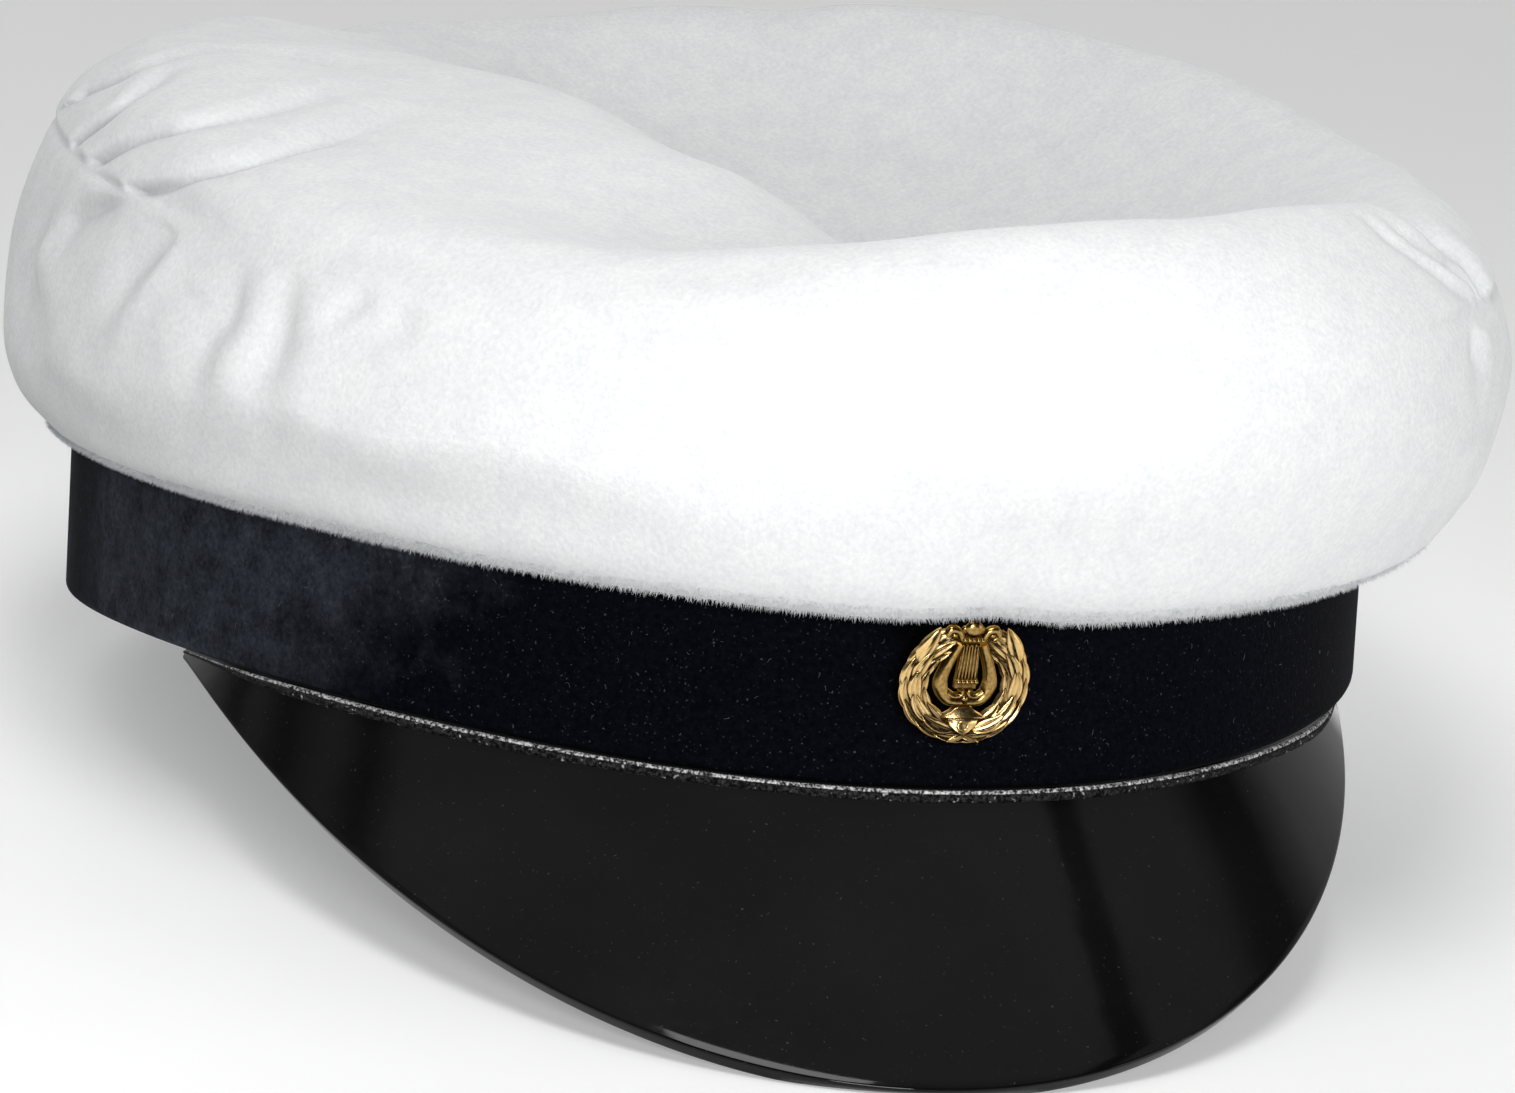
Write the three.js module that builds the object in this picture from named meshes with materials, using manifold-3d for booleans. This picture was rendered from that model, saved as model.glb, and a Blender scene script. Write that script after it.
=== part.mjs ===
// Student cap, in millimetres and degrees: a soft velvet crown on a dark band, with piping, a patent peak
// and a small badge. It is modelled upright, x to the wearer's left, y to the back, z up from the band's
// lower edge, and is then pitched until it rests on the front of the peak and the back of the band.
// Angles run round the cap from the front, positive towards the wearer's left.
import * as THREE from "three";
import { mergeVertices } from "three/addons/utils/BufferGeometryUtils.js";
import Module from "manifold-3d";

const wasm = await Module();
wasm.setup();

// Driving dimensions
const headRound = 570; // inside of the band, head size 57
const gap = 0.3; // between neighbouring pieces
const weld = 1e-4; // corners closer than this are one
const columnStep = 7.5; // angle between sections
const fineStep = 1.875; // the same where the cloth is gathered

const bandWall = 3;
const bandAspect = 1.129; // length over width
const bandEgg = 0.104; // how much the front is narrower than the back
const bandRise = 6.2; // the lower edge rises by this at the sides
const bandTuck = 2.2; // the band runs up behind the crown's lower fold by this
const bandSquash = 1.3; // the rolled edge is pressed flat by this where it rests
const rollTurns = [-90, -45, 0, 45, 90]; // points round the rolled edge, from inside to outside

const peakLength = 44.8; // along the slope, from its seat under the band
const peakEndLength = 2.6;
const peakAxis = -6.5;
const peakHalfAngle = 68.4;
const peakTaper = 1.1; // how fast the length falls off towards the ends
const peakSlope = 41.5;
const peakEndSlope = 43.5;
const peakFan = 0.4; // 0 where the lines of the slope are parallel, 1 where they stand square to the band
const peakWall = 2;
const peakSquash = 0.6;
const peakSteps = 48;
const normalStep = 0.5; // angle to both sides that the peak's normal is taken over
const peakChamfer = 0.35; // at both corners of the outer edge

const pipingThick = 1.8;
const pipingEnd = 0.7; // thickness of its two ends
const pipingTaper = 14; // angle over which it thins out
const pipingSides = 6;

const crownWall = 2;
const crownCentre = new THREE.Vector3(14, 2, 53); // the bottom of the hollow in the top
const crownMid = 0.68; // where the two inner rings lie between centre and crest
const crownInner = 0.36;

const badgeHigh = 13.5; // centre of the wreath above the band's lower edge
const badgeAcross = -1.5; // and beside the middle of the front
const badgeStand = 2.3; // between the band and the back of the wreath, at that centre
const badgeLean = 14; // its top leans forward
const postRadius = 0.8;
const postInBand = 2.1; // how far the post reaches into the band
const postLow = 0.5; // below the centre of the wreath
const postClear = 0.3; // round the post in its hole
const postSides = 12;
const wreathWide = 6.5; // half axes of the curve of the two stems
const wreathHigh = 6.1;
const stemThick = 1.1;
const rodSteps = 7; // lengths and half the sides of a bent rod
const rodSides = 3;
const stemTurns = [-86, -45, 0, 40, 68]; // points along a stem, from the knot upwards
const leafLong = 3.8;
const leafWide = 1.8;
const leafThick = 1.1;
const leafPairs = 7;
const leafTurns = [-74, 66]; // first and last pair along a stem
const leafSplay = 14;
const leafSpread = 0.95; // how far the two leaves of a pair stand out from the stem
const topLeafHigh = 5.4;
const lyreThick = 1.1;
const armThick = 1.6;
const lyreArm = [[0.3, -2.7], [2.3, -2.2], [3.2, -0.2], [2.5, 2.4], [1.8, 5.2]];
const stringPlaces = [-0.8, -0.27, 0.27, 0.8];
const stringWide = 0.3;
const stringLong = 5.6;
const stringMiddle = 2.2;
const stringThick = 0.7;
// Bars of the lyre and its foot: width, height, and how high the middle lies
const lyreBars = [
  [4.2, 0.7, 5.0], // crossbar
  [1.4, 2.2, 6.2], // crest above it
  [2.6, 0.6, -0.5], // bridge
  [0.9, 2.4, -1.6], // tailpiece
  [3.2, 0.8, -3.2], // two steps of the foot
  [5.0, 0.8, -3.9],
  [2.6, 2.2, -5.2], // knot of the wreath
];

// Sections of the crown, a row for every 30 degrees: how far out from the band and how high
// the lower fold, the belly, the rim seam and the crest of the top lie, and the height of the two inner rings.
const crownColumns = [
  "angle", "foldOut", "foldHigh", "bellyOut", "bellyHigh", "rimOut", "rimHigh",
  "crestOut", "crestHigh", "midHigh", "innerHigh",
];
const crownRows = [
  [-180, 7.0, 21.3, 13.8, 44.0, 12.1, 68.3, 2.0, 87.0, 71, 60],
  [-150, 6.3, 23.3, 12.3, 44.0, 10.7, 70.9, 0.0, 83.5, 79, 69],
  [-120, 4.5, 27.5, 9.5, 42.0, 5.4, 72.1, -6.5, 82.0, 82, 76],
  [-90, 4.6, 28.7, 10.0, 40.0, 3.8, 66.1, -4.0, 76.5, 79, 76],
  [-60, 6.7, 27.0, 13.5, 39.5, 9.4, 59.0, 3.0, 66.5, 71, 73],
  [-30, 7.2, 23.6, 16.7, 38.5, 13.2, 53.8, 5.0, 62.0, 60, 67],
  [0, 5.2, 21.2, 18.3, 39.5, 17.0, 54.5, 5.0, 67.5, 58, 57],
  [30, 7.0, 22.8, 19.5, 40.5, 18.6, 56.2, 5.2, 71.0, 58, 51],
  [60, 6.6, 26.8, 17.2, 40.0, 15.9, 60.5, 4.0, 71.5, 60, 51],
  [90, 5.5, 28.9, 14.3, 43.5, 13.7, 61.5, 1.5, 76.5, 63, 51],
  [120, 6.2, 27.1, 13.6, 45.0, 12.3, 64.5, 2.0, 86.5, 67, 52],
  [150, 7.0, 23.2, 14.0, 44.5, 12.3, 67.0, 2.5, 91.5, 69, 55],
];

// Steps between the points of a crown section, from its seat on the band to the centre of the top
const crownSteps = [1, 3, 4, 3, 3, 3, 2, 2];
const rimPoint = 4;

// Pleats of the top where it is gathered into the rim seam at both sides, a row for each: the angle at the seam,
// how far it swings on the way to the crest, how deep it is, and how wide in degrees
const pleatRows = [
  [-112, 11, 1.2, 1.7],
  [-95, 5, 1.2, 1.6],
  [-88, 12, 1.2, 1.6],
  [-79, 14, 1.4, 1.8],
  [46, -9, 1.0, 1.6],
  [51, -7, 1.0, 1.6],
];
const gathered = [[-120, -67.5], [37.5, 60]]; // between these angles the sections lie closer together
const pleatReach = [3.7, 4.1, 4.6, 5.6]; // pleats start, are full, fade and end at these section points

// Sizes worked out from the driving dimensions
const meanRadius = headRound / (2 * Math.PI) + bandWall;
const bandHalfWidth = (2 * meanRadius) / (1 + bandAspect);
const bandHalfLength = bandAspect * bandHalfWidth;
const edgeRadius = bandWall / 2;

const rad = THREE.MathUtils.degToRad;
const { smoothstep, lerp } = THREE.MathUtils;

// Direction square to the band's outline, seen from above, as an angle round the cap
function facing(angle) {
  const a = rad(angle);
  const dx = bandHalfWidth * (Math.cos(a) - bandEgg * Math.cos(2 * a));
  const dy = bandHalfLength * Math.sin(a);
  return Math.atan2(dy, dx);
}

// A point beside the band: out is measured square to its outer face
function bandPoint(angle, out, high) {
  const a = rad(angle);
  const f = facing(angle);
  const x = bandHalfWidth * Math.sin(a) * (1 - bandEgg * Math.cos(a));
  const y = -bandHalfLength * Math.cos(a);
  return new THREE.Vector3(x + out * Math.sin(f), y - out * Math.cos(f), high);
}

// Height of the band's lower edge
function edgeHigh(angle) {
  return bandRise * Math.sin(rad(angle)) ** 2;
}

// A value of the crown's table at any angle, as a smooth closed curve through the rows
function crownAt(name, angle) {
  const column = crownColumns.indexOf(name);
  const count = crownRows.length;
  const place = ((angle - crownRows[0][0]) / 360) * count;
  const row = Math.floor(place);
  const f = place - row;
  const [a, b, c, d] = [-1, 0, 1, 2].map((k) => crownRows[(row + k + count) % count][column]);
  return b + 0.5 * f * (c - a + f * (2 * a - 5 * b + 4 * c - d + f * (3 * (b - c) + d - a)));
}

// A closed solid through sections, each a loop of points whose first half faces its second half.
// Around the whole cap the last section joins the first, otherwise both ends are closed.
function sweep(sections, wraps) {
  const corners = [];
  const triangle = (...points) => {
    const [a, b, c] = points;
    const flat = a.distanceTo(b) < weld || b.distanceTo(c) < weld || c.distanceTo(a) < weld;
    if (!flat) corners.push(...points);
  };
  const quad = (a, b, c, d) => {
    triangle(a, b, c);
    triangle(a, c, d);
  };
  const count = sections.length;
  const loop = sections[0].length;
  for (let i = 0; i < (wraps ? count : count - 1); i++) {
    const here = sections[i];
    const next = sections[(i + 1) % count];
    for (let j = 0; j < loop; j++) {
      const k = (j + 1) % loop;
      quad(here[j], next[j], next[k], here[k]);
    }
  }
  if (!wraps) {
    const first = sections[0];
    const last = sections[count - 1];
    for (let j = 0; j + 1 < loop / 2; j++) {
      quad(first[j], first[j + 1], first[loop - 2 - j], first[loop - 1 - j]);
      quad(last[j + 1], last[j], last[loop - 1 - j], last[loop - 2 - j]);
    }
  }
  return mergeVertices(new THREE.BufferGeometry().setFromPoints(corners), weld);
}

// Joins and cuts of closed geometries
function solid(geometry) {
  const bare = geometry.clone();
  bare.deleteAttribute("normal");
  bare.deleteAttribute("uv");
  const merged = mergeVertices(bare, weld);
  return new wasm.Manifold(
    new wasm.Mesh({
      numProp: 3,
      vertProperties: new Float32Array(merged.attributes.position.array),
      triVerts: new Uint32Array(merged.index.array),
    }),
  );
}

function geometryOf(made) {
  const mesh = made.getMesh();
  const geometry = new THREE.BufferGeometry();
  geometry.setAttribute("position", new THREE.BufferAttribute(mesh.vertProperties, 3));
  geometry.setIndex(new THREE.BufferAttribute(mesh.triVerts, 1));
  return geometry;
}

// Angles of the sections round the cap, closer together where the top is gathered
function roundAngles() {
  const angles = [];
  for (let angle = -180; angle < 180; angle += columnStep) {
    const near = gathered.some(([from, to]) => angle >= from && angle < to);
    const step = near ? fineStep : columnStep;
    for (let a = angle; a < angle + columnStep; a += step) angles.push(a);
  }
  return angles;
}

// Peak: a bent sheet ruled by straight lines that leave the band's lower edge and fan out
function peakLine(turn) {
  const angle = peakAxis + turn;
  const share = turn / peakHalfAngle;
  const slope = rad(lerp(peakSlope, peakEndSlope, share * share));
  const square = facing(angle);
  const middle = facing(peakAxis);
  const heading = middle + peakFan * (square - middle);
  const down = new THREE.Vector3(
    Math.cos(slope) * Math.sin(heading),
    -Math.cos(slope) * Math.cos(heading),
    -Math.sin(slope),
  );
  // slope of the sheet square to the band, which sets where it passes under the rolled edge
  const steep = Math.atan2(Math.sin(slope), Math.cos(slope) * Math.cos(square - heading));
  const fall = Math.cos((Math.PI / 2) * share);
  const length = peakEndLength + (peakLength - peakEndLength) * Math.max(fall, 0) ** peakTaper;
  return { angle, down, steep, length };
}

function peakSeat({ angle, steep }) {
  const below = edgeRadius + gap;
  const out = -edgeRadius - below * Math.sin(steep);
  return bandPoint(angle, out, edgeHigh(angle) + edgeRadius - below * Math.cos(steep));
}

function peakNormal(turn) {
  const along = peakSeat(peakLine(turn + normalStep)).sub(peakSeat(peakLine(turn - normalStep)));
  return along.cross(peakLine(turn).down).normalize().negate();
}

// Section of the peak: its underside out to the chamfered edge, then its top face back again
function peakSection(turn) {
  const line = peakLine(turn);
  const seat = peakSeat(line);
  const normal = peakNormal(turn);
  const flat = line.length - peakChamfer;
  const top = [[0, 0], [flat / 3, 0], [(2 * flat) / 3, 0], [flat, 0], [line.length, -peakChamfer]];
  const under = top.map(([along, high]) => [along, -peakWall - high]);
  return [...under, ...top.reverse()].map(([along, high]) =>
    seat.clone().addScaledVector(line.down, along).addScaledVector(normal, high),
  );
}

// The surface that the cap rests on, as a height under each point of the upright cap
const lowCorner = 3; // of a peak section: where its underside meets the chamfer
const peakTip = peakSection(0)[lowCorner];
const restRise = (bandSquash - peakSquash - peakTip.z) / (bandHalfLength - peakTip.y);
const pitch = Math.atan(restRise);

function pressed(point) {
  const floor = bandSquash - (bandHalfLength - point.y) * restRise;
  return point.setZ(Math.max(point.z, floor));
}

function peak() {
  const sections = [];
  for (let i = 0; i <= peakSteps; i++) {
    const turn = lerp(-peakHalfAngle, peakHalfAngle, i / peakSteps);
    sections.push(peakSection(turn).map(pressed));
  }
  return sweep(sections, false);
}

// Piping: a cord in the corner between the rolled edge and the peak
function piping() {
  const sections = [];
  for (let i = 0; i <= peakSteps; i++) {
    const place = lerp(-peakHalfAngle, peakHalfAngle, i / peakSteps);
    const { angle, steep } = peakLine(place);
    const full = smoothstep(peakHalfAngle - Math.abs(place), 0, pipingTaper);
    const radius = lerp(pipingEnd, pipingThick, full) / 2;
    const reach = edgeRadius + radius + gap;
    const rise = edgeRadius - radius;
    const along = Math.sqrt(reach * reach - rise * rise);
    const out = -edgeRadius + along * Math.cos(steep) - rise * Math.sin(steep);
    const high = edgeHigh(angle) + edgeRadius - along * Math.sin(steep) - rise * Math.cos(steep);
    const section = [];
    for (let j = 0; j < pipingSides; j++) {
      const turn = (2 * Math.PI * (j + 0.5)) / pipingSides;
      section.push(bandPoint(angle, out + radius * Math.sin(turn), high - radius * Math.cos(turn)));
    }
    sections.push(section);
  }
  return sweep(sections, false);
}

// Where the badge's post starts inside the lyre: out from the band's face, and above its lower edge
function postStart() {
  const lean = rad(badgeLean);
  return {
    out: badgeStand - postLow * Math.sin(lean) + (lyreThick / 2) * Math.cos(lean),
    high: badgeHigh - postLow * Math.cos(lean) - (lyreThick / 2) * Math.sin(lean),
  };
}

// Band: an upright wall with a rolled lower edge, with a hole for the badge's post
function band() {
  const sections = roundAngles().map((angle) => {
    const low = edgeHigh(angle);
    const top = crownAt("foldHigh", angle) + bandTuck;
    const section = [];
    for (const turn of rollTurns) {
      const out = edgeRadius * (Math.sin(rad(turn)) - 1);
      section.push(pressed(bandPoint(angle, out, low + edgeRadius * (1 - Math.cos(rad(turn))))));
    }
    section.push(bandPoint(angle, 0, top - edgeRadius));
    section.push(bandPoint(angle, -edgeRadius / 2, top));
    section.push(bandPoint(angle, -bandWall, top));
    return section;
  });
  const boreRadius = postRadius + postClear;
  const bore = new THREE.CylinderGeometry(boreRadius, boreRadius, 4 * bandWall, postSides);
  bore.translate(badgeAcross, -bandHalfLength, postStart().high);
  return geometryOf(solid(sweep(sections, true)).subtract(solid(bore)));
}

// Crown: one surface from its seat on the band over fold, belly, rim and crest to the middle of the top
function crownSection(angle) {
  const at = (name) => crownAt(name, angle);
  const seatHigh = at("foldHigh") + bandTuck + gap;
  const crest = bandPoint(angle, at("crestOut"), at("crestHigh"));
  const mid = crownCentre.clone().lerp(crest, crownMid).setZ(at("midHigh"));
  const inner = crownCentre.clone().lerp(crest, crownInner).setZ(at("innerHigh"));
  const curve = new THREE.CatmullRomCurve3([
    bandPoint(angle, gap - bandWall, seatHigh),
    bandPoint(angle, 2 * gap, seatHigh),
    bandPoint(angle, at("foldOut"), at("foldHigh")),
    bandPoint(angle, at("bellyOut"), at("bellyHigh")),
    bandPoint(angle, at("rimOut"), at("rimHigh")),
    crest,
    mid,
    inner,
    crownCentre.clone(),
  ]);
  const section = [];
  crownSteps.forEach((steps, part) => {
    for (let k = 0; k < steps; k++) section.push(part + k / steps);
  });
  section.push(crownSteps.length);
  return section.map((place) => ({ place, point: curve.getPoint(place / crownSteps.length) }));
}

// Depth of the pleats at a place on a section
function pleatDepth(angle, place) {
  const [start, full, fade, end] = pleatReach;
  const strength = smoothstep(place, start, full) * (1 - smoothstep(place, fade, end));
  let depth = 0;
  for (const [seamAngle, swing, deep, width] of pleatRows) {
    const away = (angle - seamAngle - swing * (place - rimPoint)) / width;
    depth += deep * Math.exp(-away * away);
  }
  return depth * strength;
}

function crown() {
  const angles = roundAngles();
  const sections = angles.map(crownSection);
  const count = sections.length;
  const rings = sections[0].length;
  const normalAt = (i, j) => {
    const before = sections[(i + count - 1) % count];
    const after = sections[(i + 1) % count];
    const round = after[j].point.clone().sub(before[j].point);
    const low = sections[i][Math.max(j - 1, 0)].point;
    const high = sections[i][Math.min(j + 1, rings - 1)].point;
    return round.cross(high.clone().sub(low)).normalize();
  };
  const up = new THREE.Vector3(0, 0, 1);
  const faces = sections.map((section, i) =>
    section.map(({ place, point }, j) => {
      const normal = j + 1 < rings ? normalAt(i, j) : up;
      const outer = point.clone().addScaledVector(normal, -pleatDepth(angles[i], place));
      return { outer, inner: outer.clone().addScaledVector(normal, -crownWall) };
    }),
  );
  return { angles, faces };
}

// Moves an edge of a piece back from its seam, towards the next points inside the piece
function drawnBack(edge, inside) {
  const shift = (from, to) => from.clone().addScaledVector(to.clone().sub(from).normalize(), gap / 2);
  return { outer: shift(edge.outer, inside.outer), inner: shift(edge.inner, inside.inner) };
}

function shellLoop(pairs) {
  return [...pairs.map((p) => p.outer), ...pairs.map((p) => p.inner).reverse()];
}

function crownTop({ faces }) {
  const rim = crownSteps.slice(0, rimPoint).reduce((sum, n) => sum + n, 0);
  const sections = faces.map((face) => {
    const part = face.slice(rim);
    part[0] = drawnBack(part[0], part[1]);
    return shellLoop(part);
  });
  return sweep(sections, true);
}

function crownSide({ angles, faces }, from, to) {
  const rim = crownSteps.slice(0, rimPoint).reduce((sum, n) => sum + n, 0);
  const count = angles.length;
  const first = angles.indexOf(from);
  const columns = angles.filter((angle) => angle >= from && angle < to).length;
  const parts = [];
  for (let i = 0; i <= columns; i++) {
    const part = faces[(first + i) % count].slice(0, rim + 1);
    part[rim] = drawnBack(part[rim], part[rim - 1]);
    parts.push(part);
  }
  parts[0] = parts[0].map((edge, j) => drawnBack(edge, parts[1][j]));
  parts[columns] = parts[columns].map((edge, j) => drawnBack(edge, parts[columns - 1][j]));
  return sweep(parts.map(shellLoop), false);
}

// Badge: a lyre in a laurel wreath, x to the right, y up and z towards the viewer, joined into one solid
function bar(wide, high, x, y, thick) {
  return new THREE.BoxGeometry(wide, high, thick).translate(x, y, thick / 2);
}

function rod(points, thick) {
  const shape = new THREE.Shape().absarc(0, 0, thick / 2, 0, 2 * Math.PI);
  const path = new THREE.CatmullRomCurve3(points.map(([x, y]) => new THREE.Vector3(x, y, thick / 2)));
  return new THREE.ExtrudeGeometry(shape, {
    extrudePath: path,
    steps: rodSteps,
    curveSegments: rodSides,
    bevelEnabled: false,
  });
}

function leaf(x, y, turn) {
  return new THREE.OctahedronGeometry(1)
    .scale(leafLong / 2, leafWide / 2, leafThick / 2)
    .rotateZ(turn)
    .translate(x, y, leafThick / 2);
}

function wreathPoint(side, turn, out = 0) {
  const a = rad(turn);
  return [side * (wreathWide + out) * Math.cos(a), (wreathHigh + out) * Math.sin(a)];
}

function wreathSide(side) {
  const parts = [rod(stemTurns.map((turn) => wreathPoint(side, turn)), stemThick)];
  const [first, last] = leafTurns;
  for (let pair = 0; pair < leafPairs; pair++) {
    const turn = lerp(first, last, pair / (leafPairs - 1));
    for (const hand of [-1, 1]) {
      const [x, y] = wreathPoint(side, turn, -hand * leafSpread);
      const tilt = rad(turn + 90 + hand * leafSplay);
      parts.push(leaf(x, y, side > 0 ? tilt : Math.PI - tilt));
    }
  }
  return parts;
}

function lyre() {
  const arms = [-1, 1].map((side) => rod(lyreArm.map(([x, y]) => [side * x, y]), armThick));
  const strings = stringPlaces.map((x) => bar(stringWide, stringLong, x, stringMiddle, stringThick));
  const bars = lyreBars.map(([wide, high, y]) => bar(wide, high, 0, y, lyreThick));
  return [...arms, ...strings, ...bars];
}

function badge() {
  const postSpan = postStart().out + postInBand;
  const post = new THREE.CylinderGeometry(postRadius, postRadius, postSpan, postSides)
    .translate(0, -postSpan / 2, 0)
    .rotateX(Math.PI / 2 - rad(badgeLean))
    .translate(0, -postLow, lyreThick / 2);
  const topLeaf = leaf(0, topLeafHigh, Math.PI / 2);
  const parts = [...wreathSide(-1), ...wreathSide(1), topLeaf, ...lyre(), post];
  return geometryOf(parts.map(solid).reduce((sum, part) => sum.add(part)));
}

// The pieces, each with its own material
const velvetWhite = { color: 0xe9eaec, roughness: 0.95, metalness: 0 };
const velvetNavy = { color: 0x0b0d16, roughness: 0.95, metalness: 0 };
const satin = { color: 0x16161a, roughness: 0.45, metalness: 0 };
const patent = { color: 0x0a0a0a, roughness: 0.12, metalness: 0 };
const gold = { color: 0xd9a94e, roughness: 0.25, metalness: 1 };

function piece(name, geometry, look) {
  const mesh = new THREE.Mesh(geometry, new THREE.MeshStandardMaterial(look));
  mesh.name = name;
  return mesh;
}

const crownFaces = crown();
const cap = new THREE.Group();
cap.add(piece("crown_top", crownTop(crownFaces), velvetWhite));
cap.add(piece("crown_side_left", crownSide(crownFaces, 0, 180), velvetWhite));
cap.add(piece("crown_side_right", crownSide(crownFaces, -180, 0), velvetWhite));
cap.add(piece("band", band(), velvetNavy));
cap.add(piece("piping", piping(), satin));
cap.add(piece("peak", peak(), patent));

const badgeMesh = piece("badge", badge(), gold);
badgeMesh.rotation.x = Math.PI / 2 + rad(badgeLean);
badgeMesh.position.set(badgeAcross, -bandHalfLength - badgeStand, badgeHigh);
cap.add(badgeMesh);

// Resting pose: pitched back, standing on z = 0 with the middle of its outline over the origin
cap.rotation.x = -pitch;
cap.updateMatrixWorld(true);
const box = new THREE.Box3().setFromObject(cap, true);
const middle = box.getCenter(new THREE.Vector3());
cap.position.set(-middle.x, -middle.y, -box.min.z);

const studentCap = new THREE.Group();
studentCap.add(cap);

export default studentCap;
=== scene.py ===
"""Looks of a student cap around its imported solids: velvet crown and band, piping, patent peak and badge.

The cap is worked out upright, in millimetres and degrees: x to the wearer's left, y to the back, z up from
the band's lower edge. Angles run round it from the front, positive towards the wearer's left. Places run
along a section of the crown: 0 and 1 at its seat on the band, 2 the lower fold, 3 the belly, 4 the rim
seam, 5 the crest, 6 and 7 two rings of the top, 8 its middle. Every piece is then laid as the solids lie,
in metres.
"""
from collections import namedtuple

import bmesh
import bpy
import numpy as np
from mathutils import Matrix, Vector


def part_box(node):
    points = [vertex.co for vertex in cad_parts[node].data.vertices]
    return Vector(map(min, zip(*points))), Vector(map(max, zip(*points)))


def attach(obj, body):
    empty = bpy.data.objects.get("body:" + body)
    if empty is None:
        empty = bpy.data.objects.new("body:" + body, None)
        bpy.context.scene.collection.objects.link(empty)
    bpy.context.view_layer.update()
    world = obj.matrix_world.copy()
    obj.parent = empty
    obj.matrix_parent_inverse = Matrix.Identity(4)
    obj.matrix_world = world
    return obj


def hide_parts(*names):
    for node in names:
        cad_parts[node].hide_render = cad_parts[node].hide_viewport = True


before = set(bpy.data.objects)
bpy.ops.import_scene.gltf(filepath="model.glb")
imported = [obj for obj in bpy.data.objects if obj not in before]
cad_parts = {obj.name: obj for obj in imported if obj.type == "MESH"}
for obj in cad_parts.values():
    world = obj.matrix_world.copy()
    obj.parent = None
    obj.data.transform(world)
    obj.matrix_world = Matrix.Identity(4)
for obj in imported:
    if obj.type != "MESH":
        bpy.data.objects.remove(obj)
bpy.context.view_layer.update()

# Sizes of the cap, the same as those of the solids
HEAD_ROUND = 570.0
GAP = 0.3
BAND_WALL = 3.0
BAND_ASPECT = 1.129
BAND_EGG = 0.104
BAND_RISE = 6.2
BAND_TUCK = 2.2
BAND_SQUASH = 1.3
PEAK_LENGTH = 44.8
PEAK_END_LENGTH = 2.6
PEAK_AXIS = -6.5
PEAK_HALF_ANGLE = 68.4
PEAK_TAPER = 1.1
PEAK_SLOPE = 41.5
PEAK_END_SLOPE = 43.5
PEAK_FAN = 0.4
PEAK_WALL = 2.0
PEAK_SQUASH = 0.6
PEAK_CHAMFER = 0.35
PIPING_THICK = 1.55
PIPING_END = 0.4
PIPING_TAPER = 16.0
CROWN_WALL = 2.0
CROWN_CENTRE = np.array([14.0, 2.0, 53.0])
CROWN_MID = 0.68
CROWN_INNER = 0.36
BADGE_HIGH = 13.5
BADGE_ACROSS = -1.5
BADGE_STAND = 2.3
BADGE_LEAN = 14.0  # its top leans forward

# Sections of the crown, a row for every 30 degrees
CROWN_COLUMNS = (
    "angle", "fold_out", "fold_high", "belly_out", "belly_high", "rim_out", "rim_high",
    "crest_out", "crest_high", "mid_high", "inner_high",
)
CROWN_ROWS = np.array([
    [-180, 7.0, 21.3, 13.8, 44.0, 12.1, 68.3, 2.0, 87.0, 71, 60],
    [-150, 6.3, 23.3, 12.3, 44.0, 10.7, 70.9, 0.0, 83.5, 79, 69],
    [-120, 1.6, 27.5, 10.0, 41.0, 5.4, 72.1, -6.5, 82.0, 82, 76],
    [-90, 2.4, 28.7, 10.6, 40.0, 3.8, 66.1, -4.0, 76.5, 79, 76],
    [-60, 6.7, 27.0, 13.5, 39.5, 9.4, 59.0, 3.0, 66.5, 71, 73],
    [-30, 7.2, 23.6, 16.7, 38.5, 13.2, 53.8, 5.0, 62.0, 60, 67],
    [0, 5.2, 21.2, 18.3, 39.5, 17.0, 54.5, 5.0, 67.5, 58, 57],
    [30, 7.0, 22.8, 19.5, 40.5, 18.6, 56.2, 5.2, 71.0, 58, 51],
    [60, 6.6, 26.8, 17.2, 40.0, 15.9, 60.5, 4.0, 71.5, 60, 51],
    [90, 5.5, 28.9, 14.3, 43.5, 13.7, 61.5, 1.5, 76.5, 63, 51],
    [120, 6.2, 27.1, 13.6, 45.0, 12.3, 64.5, 2.0, 86.5, 67, 52],
    [150, 7.0, 23.2, 14.0, 44.5, 12.3, 67.0, 2.5, 91.5, 69, 55],
])
RIM = 4

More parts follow.
